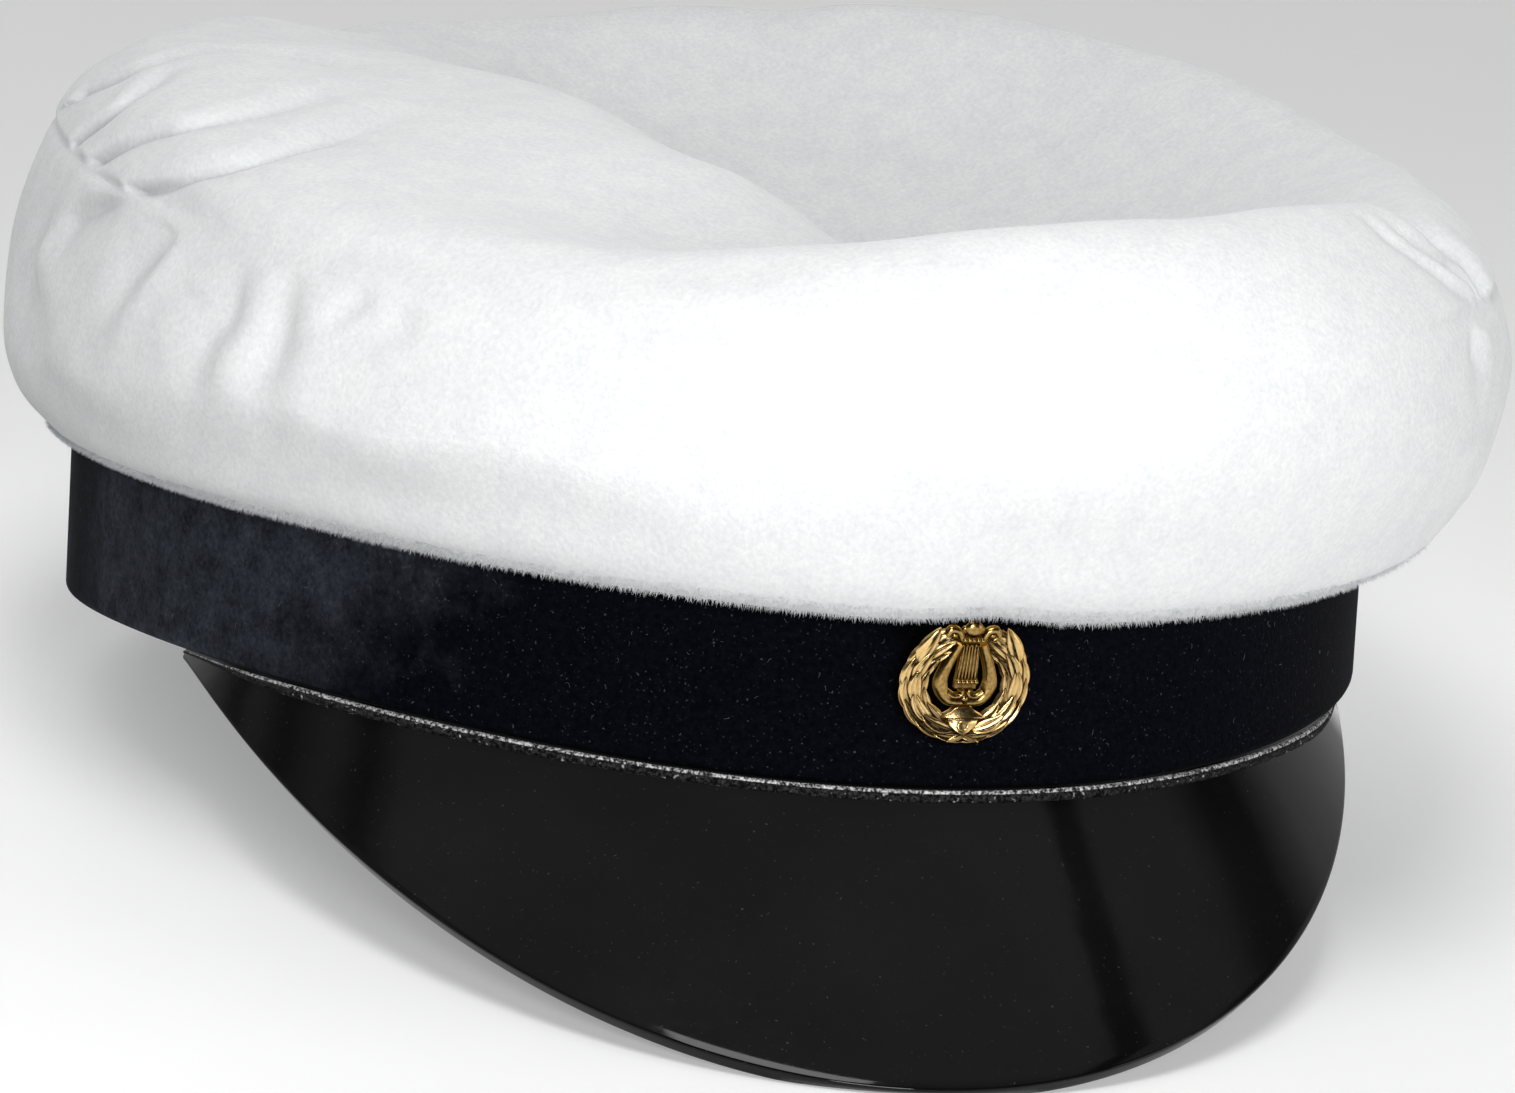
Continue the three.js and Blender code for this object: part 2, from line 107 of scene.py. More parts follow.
# Creases of the crown's cloth: points as (angle, place), depth, half width, how much of the depth the fold
# beside it stands up by (to its right where positive, going along it), and how much of it is a crisp slot
Crease = namedtuple("Crease", "points depth width roll crisp")
CREASES = [Crease(*row) for row in (
    # pleats of the top, at the wearer's right
    (((-103.5, 4.4), (-100.5, 4.8), (-99.5, 5.1), (-102, 5.28), (-105.5, 5.46), (-106, 5.65),
      (-103.5, 5.84), (-98.75, 6.02), (-92, 6.2)), 1.8, 3.2, -0.1, 0.4),
    (((-94.75, 4.05), (-93, 4.25), (-91.25, 4.45), (-90.25, 4.65), (-90.25, 4.85), (-91.25, 5.02),
      (-93, 5.13), (-95.5, 5.21), (-99, 5.27)), 1.7, 2.2, -0.1, 0.5),
    (((-88.5, 4.01), (-84.5, 4.34), (-81, 4.69), (-78, 5.01), (-77.25, 5.29), (-79.75, 5.57),
      (-86.5, 5.91), (-93, 6.1)), 1.8, 2.8, -0.1, 0.4),
    (((-78.5, 4.01), (-73, 4.36), (-69.25, 4.81), (-67.25, 5.12), (-68.25, 5.42), (-71, 5.69),
      (-77.5, 6.03), (-83, 6.2)), 2.0, 3.2, -0.1, 0.5),
    # the side panel under them
    (((-77, 3.98), (-79.75, 3.91), (-83.25, 3.83), (-86.5, 3.74), (-88.75, 3.65), (-92, 3.47)),
     1.8, 2.8, 0.3, 0.2),
    (((-90.5, 3.9), (-92, 3.74), (-94, 3.58), (-94.5, 3.42), (-90.5, 3.28), (-85, 3.14), (-80, 3.02)),
     1.4, 4.4, -0.3, 0.0),
    (((-69, 4.0), (-70, 3.89), (-71.75, 3.71), (-73, 3.61), (-75, 3.5), (-77.5, 3.4)),
     1.5, 3.8, -0.5, 0.0),
    (((-61.25, 3.98), (-60.5, 3.73), (-60.5, 3.58), (-61.5, 3.45), (-63, 3.3), (-65.5, 3.12)),
     1.4, 4.4, -0.6, 0.05),
    (((-56.25, 3.98), (-55.25, 3.83), (-55.25, 3.62), (-55.25, 3.43), (-56.25, 3.26), (-58, 3.06)),
     1.2, 4.4, -0.5, 0.05),
    (((-49.5, 3.96), (-48, 3.75)), 0.5, 3.2, -0.3, 0.0),
    (((-45.5, 3.96), (-44, 3.6)), 0.5, 3.6, -0.3, 0.0),
    # pleats at the wearer's left, and the bump under them
    (((48.5, 4.0), (48, 4.26), (45, 4.46), (43, 4.6), (41, 4.78), (36, 4.96)), 1.1, 2.4, 0.3, 0.2),
    (((47, 4.0), (43, 4.26), (41, 4.44), (39, 4.64), (37.5, 4.84), (34, 4.98)), 1.0, 2.0, 0.3, 0.2),
    (((51.5, 4.0), (50.5, 4.3), (49, 4.54), (51, 4.92), (63, 5.26), (77, 5.46)), 1.6, 3.8, 0.3, 0.1),
    (((43, 3.92), (44.5, 3.68), (48.5, 3.44)), 1.1, 2.6, -0.8, 0.2),
)]

# Wider dents of the crown: angle, place, depth and half width
DENTS = (
    (-136, 5.2, -1.5, 11.0),
    (-153.5, 5.15, 2.2, 6.5),
    (173, 5.05, -1.3, 11.0),
    (160, 5.05, 1.0, 7.0),
    (142, 5.0, -0.9, 14.0),
)

# Camera, beside the upright cap: where it stands, how it is turned, and the picture that it takes
CAMERA_AZIMUTH = -17.4
CAMERA_ELEVATION = 8.0
CAMERA_ROLL = 3.2
CAMERA_DISTANCE = 700.0
PICTURE = (1515, 1093)
FOCAL_PIXELS = 5044.0
CAP_PIXEL = (721.0, 668.0)  # where the middle of the band's lower edge shows
SENSOR = 36.0

# Sizes worked out
MM = 0.001
TINY = 1e-9
MEAN_RADIUS = HEAD_ROUND / (2 * np.pi) + BAND_WALL
HALF_WIDTH = 2 * MEAN_RADIUS / (1 + BAND_ASPECT)
HALF_LENGTH = BAND_ASPECT * HALF_WIDTH
EDGE_RADIUS = BAND_WALL / 2


# Shapes shared by the pieces

def points_of(x, y, z):
    return np.stack(np.broadcast_arrays(x, y, z), axis=-1)


def facing(angle):
    """Direction square to the band's outline, in radians."""
    a = np.radians(angle)
    dx = HALF_WIDTH * (np.cos(a) - BAND_EGG * np.cos(2 * a))
    return np.arctan2(HALF_LENGTH * np.sin(a), dx)


def band_point(angle, out, high):
    """Points beside the band: out is measured square to its outer face."""
    a = np.radians(angle)
    f = facing(angle)
    x = HALF_WIDTH * np.sin(a) * (1 - BAND_EGG * np.cos(a)) + out * np.sin(f)
    y = -HALF_LENGTH * np.cos(a) - out * np.cos(f)
    return points_of(x, y, high)


def edge_high(angle):
    """Height of the band's lower edge."""
    return BAND_RISE * np.sin(np.radians(angle)) ** 2


def smoothstep(x, low, high):
    t = np.clip((x - low) / (high - low), 0, 1)
    return t * t * (3 - 2 * t)


def bell(x, half_width):
    return np.exp(-(x / half_width) ** 2)


def unit(vectors):
    return vectors / np.maximum(np.linalg.norm(vectors, axis=-1, keepdims=True), TINY)


def grid_normals(grid):
    """Outward normals of a surface given as sections round the cap, the last next to the first."""
    round_cap = np.roll(grid, -1, axis=0) - np.roll(grid, 1, axis=0)
    along = np.gradient(grid, axis=1)
    return unit(np.cross(round_cap, along))


def catmull_rom(points, places):
    """Points at places of the smooth curves through rows of control points."""
    first = 2 * points[:, :1] - points[:, 1:2]
    last = 2 * points[:, -1:] - points[:, -2:-1]
    ends = np.concatenate([first, points, last], axis=1)
    step = np.sqrt(np.maximum(np.linalg.norm(np.diff(ends, axis=1), axis=2), TINY))
    segment = np.minimum(places.astype(int), points.shape[1] - 2)
    f = (places - segment)[None, :, None]
    p0, p1, p2, p3 = (ends[:, segment + k] for k in range(4))
    d0, d1, d2 = (step[:, segment + k][..., None] for k in range(3))
    t1 = ((p1 - p0) / d0 - (p2 - p0) / (d0 + d1) + (p2 - p1) / d1) * d1
    t2 = ((p2 - p1) / d1 - (p3 - p1) / (d1 + d2) + (p3 - p2) / d2) * d1
    return p1 + f * (t1 + f * (3 * (p2 - p1) - 2 * t1 - t2 + f * (2 * (p1 - p2) + t1 + t2)))


def path_through(points, count):
    """A smooth path through a few points, as count points."""
    points = np.array(points, float)
    return catmull_rom(points[None], np.linspace(0, len(points) - 1, count))[0]


# The resting pose: the plane that the upright cap stands on, its turn, and its shift to the solids' place

NORMAL_STEP = 0.5  # degrees to each side, for the peak's normal


def peak_line(turn):
    """The straight lines of the peak's slope: angle, direction, steepness square to the band, and length."""
    angle = PEAK_AXIS + turn
    share = turn / PEAK_HALF_ANGLE
    slope = np.radians(PEAK_SLOPE + (PEAK_END_SLOPE - PEAK_SLOPE) * share ** 2)
    square = facing(angle)
    middle = facing(PEAK_AXIS)
    heading = middle + PEAK_FAN * (square - middle)
    level = np.cos(slope)
    down = points_of(level * np.sin(heading), -level * np.cos(heading), -np.sin(slope))
    steep = np.arctan2(np.sin(slope), level * np.cos(square - heading))
    fall = np.maximum(np.cos(np.pi / 2 * share), 0)
    length = PEAK_END_LENGTH + (PEAK_LENGTH - PEAK_END_LENGTH) * fall ** PEAK_TAPER
    return angle, down, steep, length


def peak_seat(turn):
    """Where those lines start, under the band's rolled edge."""
    angle, _, steep, _ = peak_line(turn)
    below = EDGE_RADIUS + GAP
    out = -EDGE_RADIUS - below * np.sin(steep)
    return band_point(angle, out, edge_high(angle) + EDGE_RADIUS - below * np.cos(steep))


def peak_normal(turn):
    along = peak_seat(turn + NORMAL_STEP) - peak_seat(turn - NORMAL_STEP)
    return unit(np.cross(peak_line(turn)[1], along))


def peak_tip():
    """The lowest point of the peak's outer edge."""
    turn = np.array([0.0])
    tip = peak_seat(turn) + (PEAK_LENGTH - PEAK_CHAMFER) * peak_line(turn)[1]
    return (tip - PEAK_WALL * peak_normal(turn))[0]


REST_RISE = (BAND_SQUASH - PEAK_SQUASH - peak_tip()[2]) / (HALF_LENGTH - peak_tip()[1])
PITCH = np.arctan(REST_RISE)


def pressed(points):
    """Points below the plane that the cap rests on are brought up to it."""
    floor = BAND_SQUASH - (HALF_LENGTH - points[..., 1]) * REST_RISE
    points = points.copy()
    points[..., 2] = np.maximum(points[..., 2], floor)
    return points


def turned(vectors):
    x, y, z = np.moveaxis(np.asarray(vectors, float), -1, 0)
    c = np.cos(PITCH)
    s = np.sin(PITCH)
    return points_of(x, y * c + z * s, z * c - y * s)


def crown_at(name, angle):
    """A column of the crown's table at any angle, as a smooth closed curve through the rows."""
    column = CROWN_ROWS[:, CROWN_COLUMNS.index(name)]
    count = len(column)
    place = (angle - CROWN_ROWS[0, 0]) / 360 * count
    row = np.floor(place).astype(int)
    f = place - row
    a, b, c, d = (column[(row + k) % count] for k in (-1, 0, 1, 2))
    return b + 0.5 * f * (c - a + f * (2 * a - 5 * b + 4 * c - d + f * (3 * (b - c) + d - a)))


def resting_shift():
    """The shift that brings the pitched band and the resting plane to where the solids have them."""
    low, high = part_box("band")
    middle_x = (low.x + high.x) / 2 / MM
    back_top = crown_at("fold_high", np.array([180.0]))[0] + BAND_TUCK
    back_edge = turned([0, HALF_LENGTH, back_top - EDGE_RADIUS])
    plane = turned([0, HALF_LENGTH, BAND_SQUASH])
    return np.array([middle_x, high.y / MM - back_edge[1], -plane[2]])


SHIFT = resting_shift()


def laid(points):
    """Upright points in millimetres as resting points in metres."""
    return (turned(points) + SHIFT) * MM


# Crown

BADGE_LIFT = (0.9, 5.0)  # the lower fold rides up over the badge: by how much, and over what angle
COLUMN_STEP = 1.0
COLUMN_STEPS = ((-118, -60, 0.3), (-128, -40, 0.5), (25, 75, 0.45))  # closer columns: from, to, step
CREASE_STEPS = 40
CREASE_REACH = 3.5  # a crease moves cloth up to this many half widths away
CREASE_STEEP = 0.6  # its half width on the side of the fold, as a share of the other
CREASE_SLOT = (0.9, 1.5)  # half width of the crisp slot, and how sharply it ends
CREASE_SPREAD = 0.8  # how much wider its far end is
CREASE_FADE = 0.4  # the share of its length over which its far end runs out
CREASE_START = 0.45  # and over which it starts on the side panels, below the seam
CREASE_SLACK = 1e-6  # on the top it starts at once
ROLL = (0.6, 0.3)  # half width of the fold beside it, and of the foot of that fold
SEAM_DEPTH = 0.25
SEAM_WIDTH = 1.0
SEAM_HOLD = 1.6  # the seam holds the cloth flat up to this far away
GATHERS = ((30, 42, 56, 75), (-125, -112, -80, -70))  # angles: from none to full, and from full to none
PUFF_HIGH = 0.5  # how far the gathered top stands out above its seam
PUFF_SPAN = (4, 14)  # and runs out, this far from it
LIP = (2.3, 0.9, 0.22)  # the lower fold's lip: place, how far it stands out, and its half width in places
LIP_SPAN = (60, 100)  # it is full in front and runs out between these angles
PANEL_SEAM_DEPTH = 0.12
PANEL_SEAM_WIDTH = 0.6
PANEL_SEAM_START = (1.6, 2.0)  # places
LUMPS = (  # soft unevenness of the cloth: waves round the cap, waves along the section, height, two phases
    (5, 1.3, 0.30, 0.4, 1.1),
    (9, 2.1, 0.22, 2.0, 0.3),
    (14, 1.7, 0.16, 4.1, 2.2),
    (23, 3.1, 0.08, 1.0, 5.0),
)
LUMP_SWAY = 0.8
LUMP_SPAN = (2.0, 2.8, 7.0, 7.9)  # places: from none to full, and from full to none
INNER_EVERY = 12  # the inner face has fewer rings


def crown_surface(angles, places):
    """The crown's smooth outer surface, before its creases."""
    at = {name: crown_at(name, angles) for name in CROWN_COLUMNS[1:]}
    seat_high = at["fold_high"] + BAND_TUCK + GAP
    at["fold_high"] = at["fold_high"] + BADGE_LIFT[0] * bell(angles, BADGE_LIFT[1])
    rings = [band_point(angles, out, seat_high) for out in (GAP - BAND_WALL, 2 * GAP)]
    for part in ("fold", "belly", "rim", "crest"):
        rings.append(band_point(angles, at[part + "_out"], at[part + "_high"]))
    crest = rings[-1]
    for share, high in ((CROWN_MID, at["mid_high"]), (CROWN_INNER, at["inner_high"])):
        ring = CROWN_CENTRE + share * (crest - CROWN_CENTRE)
        ring[:, 2] = high
        rings.append(ring)
    rings.append(np.broadcast_to(CROWN_CENTRE, crest.shape))
    return catmull_rom(np.stack(rings, axis=1), places)


def crown_point(angle, place):
    return crown_surface(np.array([angle]), np.array([place]))[0, 0]


def round_angles():
    """The angles of the crown's columns."""
    angles = []
    angle = -180.0
    while angle < 180:
        angles.append(angle)
        step = next((s for low, high, s in COLUMN_STEPS if low <= angle < high), COLUMN_STEP)
        angle = round(angle + step, 3)
    return np.array(angles)


def crease_lift(crease, points, normals, start_share):
    """How far a crease moves points along their normals; it sets in over the first share of its length."""
    line = path_through([crown_point(*corner) for corner in crease.points], CREASE_STEPS)
    reach = CREASE_REACH * crease.width * (1 + CREASE_SPREAD)
    near = np.all((points > line.min(0) - reach) & (points < line.max(0) + reach), axis=-1)
    lift = np.zeros(points.shape[:-1])
    p = points[near]
    n = normals[near]
    best = np.full(len(p), np.inf)
    side = np.zeros(len(p))
    along = np.zeros(len(p))
    for k in range(len(line) - 1):
        start = line[k]
        step = line[k + 1] - start
        share = np.clip((p - start) @ step / (step @ step), 0, 1)
        away = p - start - share[:, None] * step
        distance = np.linalg.norm(away, axis=1)
        closer = distance < best
        best = np.where(closer, distance, best)
        side = np.where(closer, np.sign((np.cross(step, n) * away).sum(1)), side)
        along = np.where(closer, (k + share) / (len(line) - 1), along)
    fold = side * np.sign(crease.roll) > 0
    s = best / (crease.width * (1 + CREASE_SPREAD * along))
    slot = np.exp(-(best / CREASE_SLOT[0]) ** CREASE_SLOT[1])
    crisp = crease.crisp * (1 - smoothstep(along, CREASE_START, 1))
    dip = crisp * slot + (1 - crisp) * bell(s, np.where(fold, CREASE_STEEP, 1))
    rise = abs(crease.roll) * fold * bell(s - 1.0, ROLL[0]) * (1 - bell(s, ROLL[1]))
    strength = (1 - smoothstep(along, 1 - CREASE_FADE, 1)) * smoothstep(along, -CREASE_SLACK, start_share)
    lift[near] = crease.depth * strength * (rise - dip)
    return lift


def full_between(x, span):
    """1 in the middle of a span of four numbers, 0 outside it."""
    return smoothstep(x, *span[:2]) * (1 - smoothstep(x, *span[2:]))


def crown_detail(angles, places, grid, normals):
    """How far creases, seams and unevenness move the crown's cloth along its normals."""
    lift = np.zeros(grid.shape[:2])
    steps = np.linalg.norm(np.diff(grid, axis=1), axis=2)
    length = np.concatenate([np.zeros((len(angles), 1)), np.cumsum(steps, axis=1)], axis=1)
    rim = np.argmin(np.abs(places - RIM))
    from_rim = np.abs(length - length[:, rim:rim + 1])
    above = (places >= RIM)[None, :]
    held = smoothstep(from_rim, 0, SEAM_HOLD)
    for crease in CREASES:
        of_top = crease.points[1][1] > RIM
        start_share = 0 if of_top else CREASE_START
        lift += crease_lift(crease, grid, normals, start_share) * held * (above == of_top)
    for angle, place, depth, width in DENTS:
        lift -= depth * bell(np.linalg.norm(grid - crown_point(angle, place), axis=2), width)
    full = np.maximum(*(full_between(angles, span) for span in GATHERS))[:, None]
    lift -= SEAM_DEPTH * full * bell(from_rim, SEAM_WIDTH)
    lift += PUFF_HIGH * full * above * held * (1 - smoothstep(from_rim, *PUFF_SPAN))
    lip_place, lip_high, lip_wide = LIP
    lip = bell(places - lip_place, lip_wide)[None, :]
    lift += lip_high * lip * (1 - smoothstep(np.abs(angles), *LIP_SPAN))[:, None]
    turn = (angles + 90) % 180 - 90
    from_seam = np.abs(np.radians(turn))[:, None] * np.hypot(grid[..., 0], grid[..., 1])
    panel = (places < RIM)[None, :] * smoothstep(places, *PANEL_SEAM_START)[None, :]
    lift -= panel * PANEL_SEAM_DEPTH * bell(from_seam, PANEL_SEAM_WIDTH)
    a = np.radians(angles)[:, None]
    p = places[None, :]
    free = full_between(p, LUMP_SPAN)
    for waves, along, high, phase, shift in LUMPS:
        round_cap = np.sin(waves * a + phase + LUMP_SWAY * np.sin(2 * p))
        lift += free * high * round_cap * np.sin(along * p * np.pi + shift)
    return lift


def ring_places(*spans):
    """Places along a section: each span is (from, to, steps)."""
    parts = [np.linspace(a, b, n, endpoint=False) for a, b, n in spans]
    return np.concatenate([*parts, [spans[-1][1]]])


SIDE_PLACES = ring_places((0, 1, 2), (1, 2, 14), (2, 3, 24), (3, 3.85, 26), (3.85, 4, 8))
TOP_PLACES = ring_places((4, 4.15, 10), (4.15, 5.5, 90), (5.5, 6, 10), (6, 7, 14), (7, 8, 10))


# Meshes

MERGE_DISTANCE = 1e-7
SHARP_ANGLE = 55


def linked(name, data):
    made = bpy.data.objects.new(name, data)
    bpy.context.scene.collection.objects.link(made)
    return made


def piece(name, points, faces, materials, slot, node, which=None, sharp=SHARP_ANGLE, mirrored=False):
    """A named mesh of upright points that rides with the cap and stands for one of its solids.

    The peak's lacquer shows the room alone, as in the photograph, so the pieces above it aren't mirrored.
    """
    mesh = bpy.data.meshes.new(name)
    mesh.from_pydata(laid(points).tolist(), [], faces)
    for material in materials:
        mesh.materials.append(material)
    if which is not None:
        mesh.polygons.foreach_set("material_index", which)
    mesh.polygons.foreach_set("use_smooth", [True] * len(mesh.polygons))
    shape = bmesh.new()
    shape.from_mesh(mesh)
    bmesh.ops.remove_doubles(shape, verts=shape.verts, dist=MERGE_DISTANCE)
    bmesh.ops.recalc_face_normals(shape, faces=shape.faces)
    shape.to_mesh(mesh)
    shape.free()
    mesh.set_sharp_from_angle(angle=np.radians(sharp))
    made = linked(name, mesh)
    made.visible_glossy = mirrored
    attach(made, "root")
    if node:
        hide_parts(node)


def loop_faces(columns, loop, wraps):
    """Quads between neighbouring closed sections, with both ends closed unless they wrap."""
    i = np.arange(columns if wraps else columns - 1)[:, None]
    j = np.arange(loop)[None, :]
    k = (j + 1) % loop
    n = (i + 1) % columns
    quads = np.stack([i * loop + j, n * loop + j, n * loop + k, i * loop + k], axis=-1)
    faces = quads.reshape(-1, 4).tolist()
    if not wraps:
        faces.append(list(range(loop)))
        faces.append(list(range(columns * loop - 1, (columns - 1) * loop - 1, -1)))
    return faces


def swept(name, sections, wraps, *about, **more):
    """A piece given as closed sections side by side."""
    piece(name, sections.reshape(-1, 3), loop_faces(*sections.shape[:2], wraps), *about, **more)


# Materials

WHITE = (1, 1, 1, 1)
DOWN_SHADE_SPAN = (-0.6, 0.0)  # painted shade where the cloth faces down: fully, and not at all
DOWN_SHADE_TURN = (-0.080, -0.035)  # and more so at the wearer's right: from here on, and no longer
DOWN_SHADE_LEFT = (0.66, 0.94)  # how much of its brightness is left there, and elsewhere
BAND_PAINTED_SHEEN = (-0.067, -0.084)  # where the band turns from dark to pale with a painted sheen of its nap, across the cap
BAND_WANDER = 0.02  # how far that place wanders
BAND_SLANT = 0.5  # how much farther across for each step up
BAND_TURN = (-0.0912, -0.0902)  # at its farthest the band is dark again, without the painted sheen


def grey(level):
    return (level, level, level, 1)


class Tree:
    """The nodes of a shader. Inputs are given as values or as other nodes' outputs."""

    def __init__(self, owner):
        owner.use_nodes = True
        self.tree = owner.node_tree

    def join(self, value, socket):
        if isinstance(value, bpy.types.NodeSocket):
            self.tree.links.new(value, socket)
        else:
            socket.default_value = value

    def add(self, kind, inputs=None, **settings):
        made = self.tree.nodes.new("ShaderNode" + kind)
        for key, value in settings.items():
            setattr(made, key, value)
        for key, value in (inputs or {}).items():
            self.join(value, made.inputs[key])
        return made

    def parts(self, vector):
        return self.add("SeparateXYZ", {"Vector": vector}).outputs

    def math(self, operation, first, second):
        return self.add("Math", {0: first, 1: second}, operation=operation).outputs[0]

    def times(self, first, second):
        return self.math("MULTIPLY", first, second)

    def mixed(self, factor, low, high, blend="MIX"):
        inputs = {0: factor, 6: low, 7: high}
        return self.add("Mix", inputs, data_type="RGBA", blend_type=blend).outputs[2]

    def ramp(self, factor, low, high):
        """A factor stretched so that low becomes 0 and high becomes 1."""
        return self.add("MapRange", {"Value": factor, "From Min": low, "From Max": high}).outputs[0]


class Look(Tree):
    """A material with one principled shader."""

    def __init__(self, name, **sockets):
        self.material = bpy.data.materials.new(name)
        super().__init__(self.material)
        self.tree.nodes.clear()
        values = {key.replace("_", " "): value for key, value in sockets.items()}
        self.shader = self.add("BsdfPrincipled", values)
        self.add("OutputMaterial", {"Surface": self.shader.outputs[0]})
        self.place = self.add("TexCoord").outputs["Object"]

    def noise(self, scale, detail, roughness):
        """Noise of a scale, a detail and a roughness, fixed to the piece."""
        inputs = {"Vector": self.place, "Scale": scale, "Detail": detail, "Roughness": roughness}
        return self.add("TexNoise", inputs).outputs["Fac"]

    def open_sky(self, distance, samples):
        """1 in the open and less in hollows, looking round as far as a distance."""
        return self.add("AmbientOcclusion", {"Distance": distance}, samples=samples).outputs["AO"]

    def tinted(self, colour, *shades):
        for shade in shades:
            colour = self.mixed(1.0, colour, shade, "MULTIPLY")
        return colour

    def give(self, name, value):
        self.join(value, self.shader.inputs[name])

    def between(self, factor, low, high):
        self.give("Base Color", self.mixed(factor, grey(low), grey(high)))

    def bump(self, height, strength, distance):
        inputs = {"Height": height, "Strength": strength, "Distance": distance}
        self.give("Normal", self.add("Bump", inputs).outputs[0])


def white_velvet():
    """White pile, darker in patches, with painted shade in hollows and where it faces down."""
    look = Look(
        "white_velvet", Roughness=1.0, Specular_IOR_Level=0.1, Sheen_Weight=0.12, Sheen_Roughness=0.5,
    )
    pile = look.noise(1500, 3, 0.65)
    brushed = look.noise(210, 3, 0.6)
    colour = look.mixed(look.ramp(pile, 0.3, 0.7), (0.755, 0.77, 0.775, 1), (0.87, 0.88, 0.88, 1))
    patches = look.mixed(look.ramp(brushed, 0.35, 0.6), (0.95, 0.955, 0.96, 1), WHITE)
    # painted shade where the cloth faces down, more so at the wearer's right
    facing_up = look.parts(look.add("NewGeometry").outputs["Normal"])["Z"]
    across = look.parts(look.place)["X"]
    down_shade_left = look.mixed(look.ramp(across, *DOWN_SHADE_TURN), *map(grey, DOWN_SHADE_LEFT))
    painted_down_shade = look.mixed(look.ramp(facing_up, *DOWN_SHADE_SPAN), down_shade_left, WHITE)
    # painted shade in hollows and creases
    open_sky = look.open_sky(distance=0.0025, samples=6)
    painted_recess_shade = look.mixed(look.ramp(open_sky, 0.45, 0.9), (0.74, 0.75, 0.77, 1), WHITE)
    look.give("Base Color", look.tinted(colour, patches, painted_down_shade, painted_recess_shade))
    look.bump(pile, strength=0.4, distance=0.0003)
    return look.material


def navy_velvet():
    """Black blue at the front, paler towards the wearer's right with a painted sheen of its brushed nap, and
    with painted shade under the crown's fold.
    """
    look = Look(
        "navy_velvet", Roughness=1.0, Specular_IOR_Level=0.03, Sheen_Weight=0.012, Sheen_Roughness=0.4,
    )
    pile = look.noise(1300, 3, 0.7)
    brushed = look.noise(240, 4, 0.65)
    flecks = look.noise(2600, 1, 0.5)
    parts = look.parts(look.place)
    # painted sheen of the brushed nap: paler towards the wearer's right, dark again at its far end
    straight = look.math("SUBTRACT", parts["X"], look.times(parts["Z"], BAND_SLANT))
    wander = look.times(look.noise(130, 3, 0.6), BAND_WANDER)
    across = look.math("ADD", straight, wander)
    painted_sheen = look.times(look.ramp(across, *BAND_PAINTED_SHEEN), look.ramp(brushed, 0.15, 0.65))
    painted_sheen = look.times(painted_sheen, look.ramp(parts["X"], *BAND_TURN))
    dark = look.mixed(look.ramp(pile, 0.35, 0.8), (0.0010, 0.0012, 0.0026, 1), (0.0040, 0.0046, 0.0080, 1))
    pale = look.mixed(look.ramp(pile, 0.25, 0.75), (0.014, 0.017, 0.024, 1), (0.052, 0.059, 0.074, 1))
    colour = look.mixed(painted_sheen, dark, pale)
    flecked = look.mixed(look.ramp(flecks, 0.70, 0.80), colour, (0.05, 0.055, 0.065, 1))
    # painted shade in hollows, under the crown's lower fold
    open_sky = look.open_sky(distance=0.006, samples=8)
    shade = look.mixed(look.ramp(open_sky, 0.5, 0.85), grey(0.1), WHITE)
    look.give("Base Color", look.tinted(flecked, shade))
    look.bump(pile, strength=0.5, distance=0.0003)
    return look.material


def lint():
    look = Look("white_lint", Roughness=1.0, Specular_IOR_Level=0.1)
    look.between(look.noise(900, 2, 0.5), 0.02, 0.22)
    return look.material


def satin(name, low, high, painted_glint):
    """Satin thread between two greys, with painted glints of its weave here and there."""
    look = Look(name, Roughness=0.6, Specular_IOR_Level=0.05)
    weave = look.noise(2200, 2, 0.6)
    # painted glints of the weave, in scattered spots
    painted_glint_spots = look.noise(1500, 1, 0.5)
    plain = look.mixed(look.ramp(weave, 0.42, 0.62), low, high)
    look.give("Base Color", look.mixed(look.ramp(painted_glint_spots, 0.68, 0.76), plain, painted_glint))
    look.bump(weave, strength=0.8, distance=0.0002)
    return look.material


def patent():
    """Black lacquer, slightly wavy, with smudges and a little dust."""
    look = Look("patent_leather", Specular_IOR_Level=0.18)
    smudged = look.noise(38, 3, 0.55)
    dust = look.noise(2300, 1, 0.5)
    grain = look.noise(700, 2, 0.5)
    base = look.mixed(look.ramp(smudged, 0.35, 0.7), grey(0.0022), grey(0.0050))
    look.give("Base Color", look.mixed(look.ramp(dust, 0.73, 0.80), base, grey(0.035)))
    look.give("Roughness", look.ramp(grain, -0.2, 9.0))
    look.bump(smudged, strength=0.1, distance=0.001)
    return look.material


def peak_lining():
    look = Look("peak_lining", Roughness=0.6)
    grain = look.noise(1200, 3, 0.6)
    look.between(grain, 0.006, 0.02)
    look.bump(grain, strength=0.5, distance=0.0002)
    return look.material


def gold(name, low, high):
    """Polished gold plate between two tones in worn speckles, partly painted reflection, with painted shade
    where it is deep between the leaves.
    """
    look = Look(name, Metallic=1.0, Specular_Tint=(0.9, 0.6, 0.3, 1))
    wear_and_painted_speckle = look.noise(2500, 3, 0.6)
    open_sky = look.open_sky(distance=0.0012, samples=8)
    # tone speckled by wear and by painted reflection
    plate = look.mixed(look.ramp(wear_and_painted_speckle, 0.35, 0.65), low, high)
    # painted shade where the gold lies deep between the leaves
    look.give("Base Color", look.mixed(look.ramp(open_sky, 0.55, 0.97), (0.04, 0.016, 0.003, 1), plate))
    look.give("Roughness", look.ramp(wear_and_painted_speckle, -0.3, 3.6))
    look.bump(wear_and_painted_speckle, strength=0.05, distance=0.0001)
    return look.material


# Pieces of cloth and leather

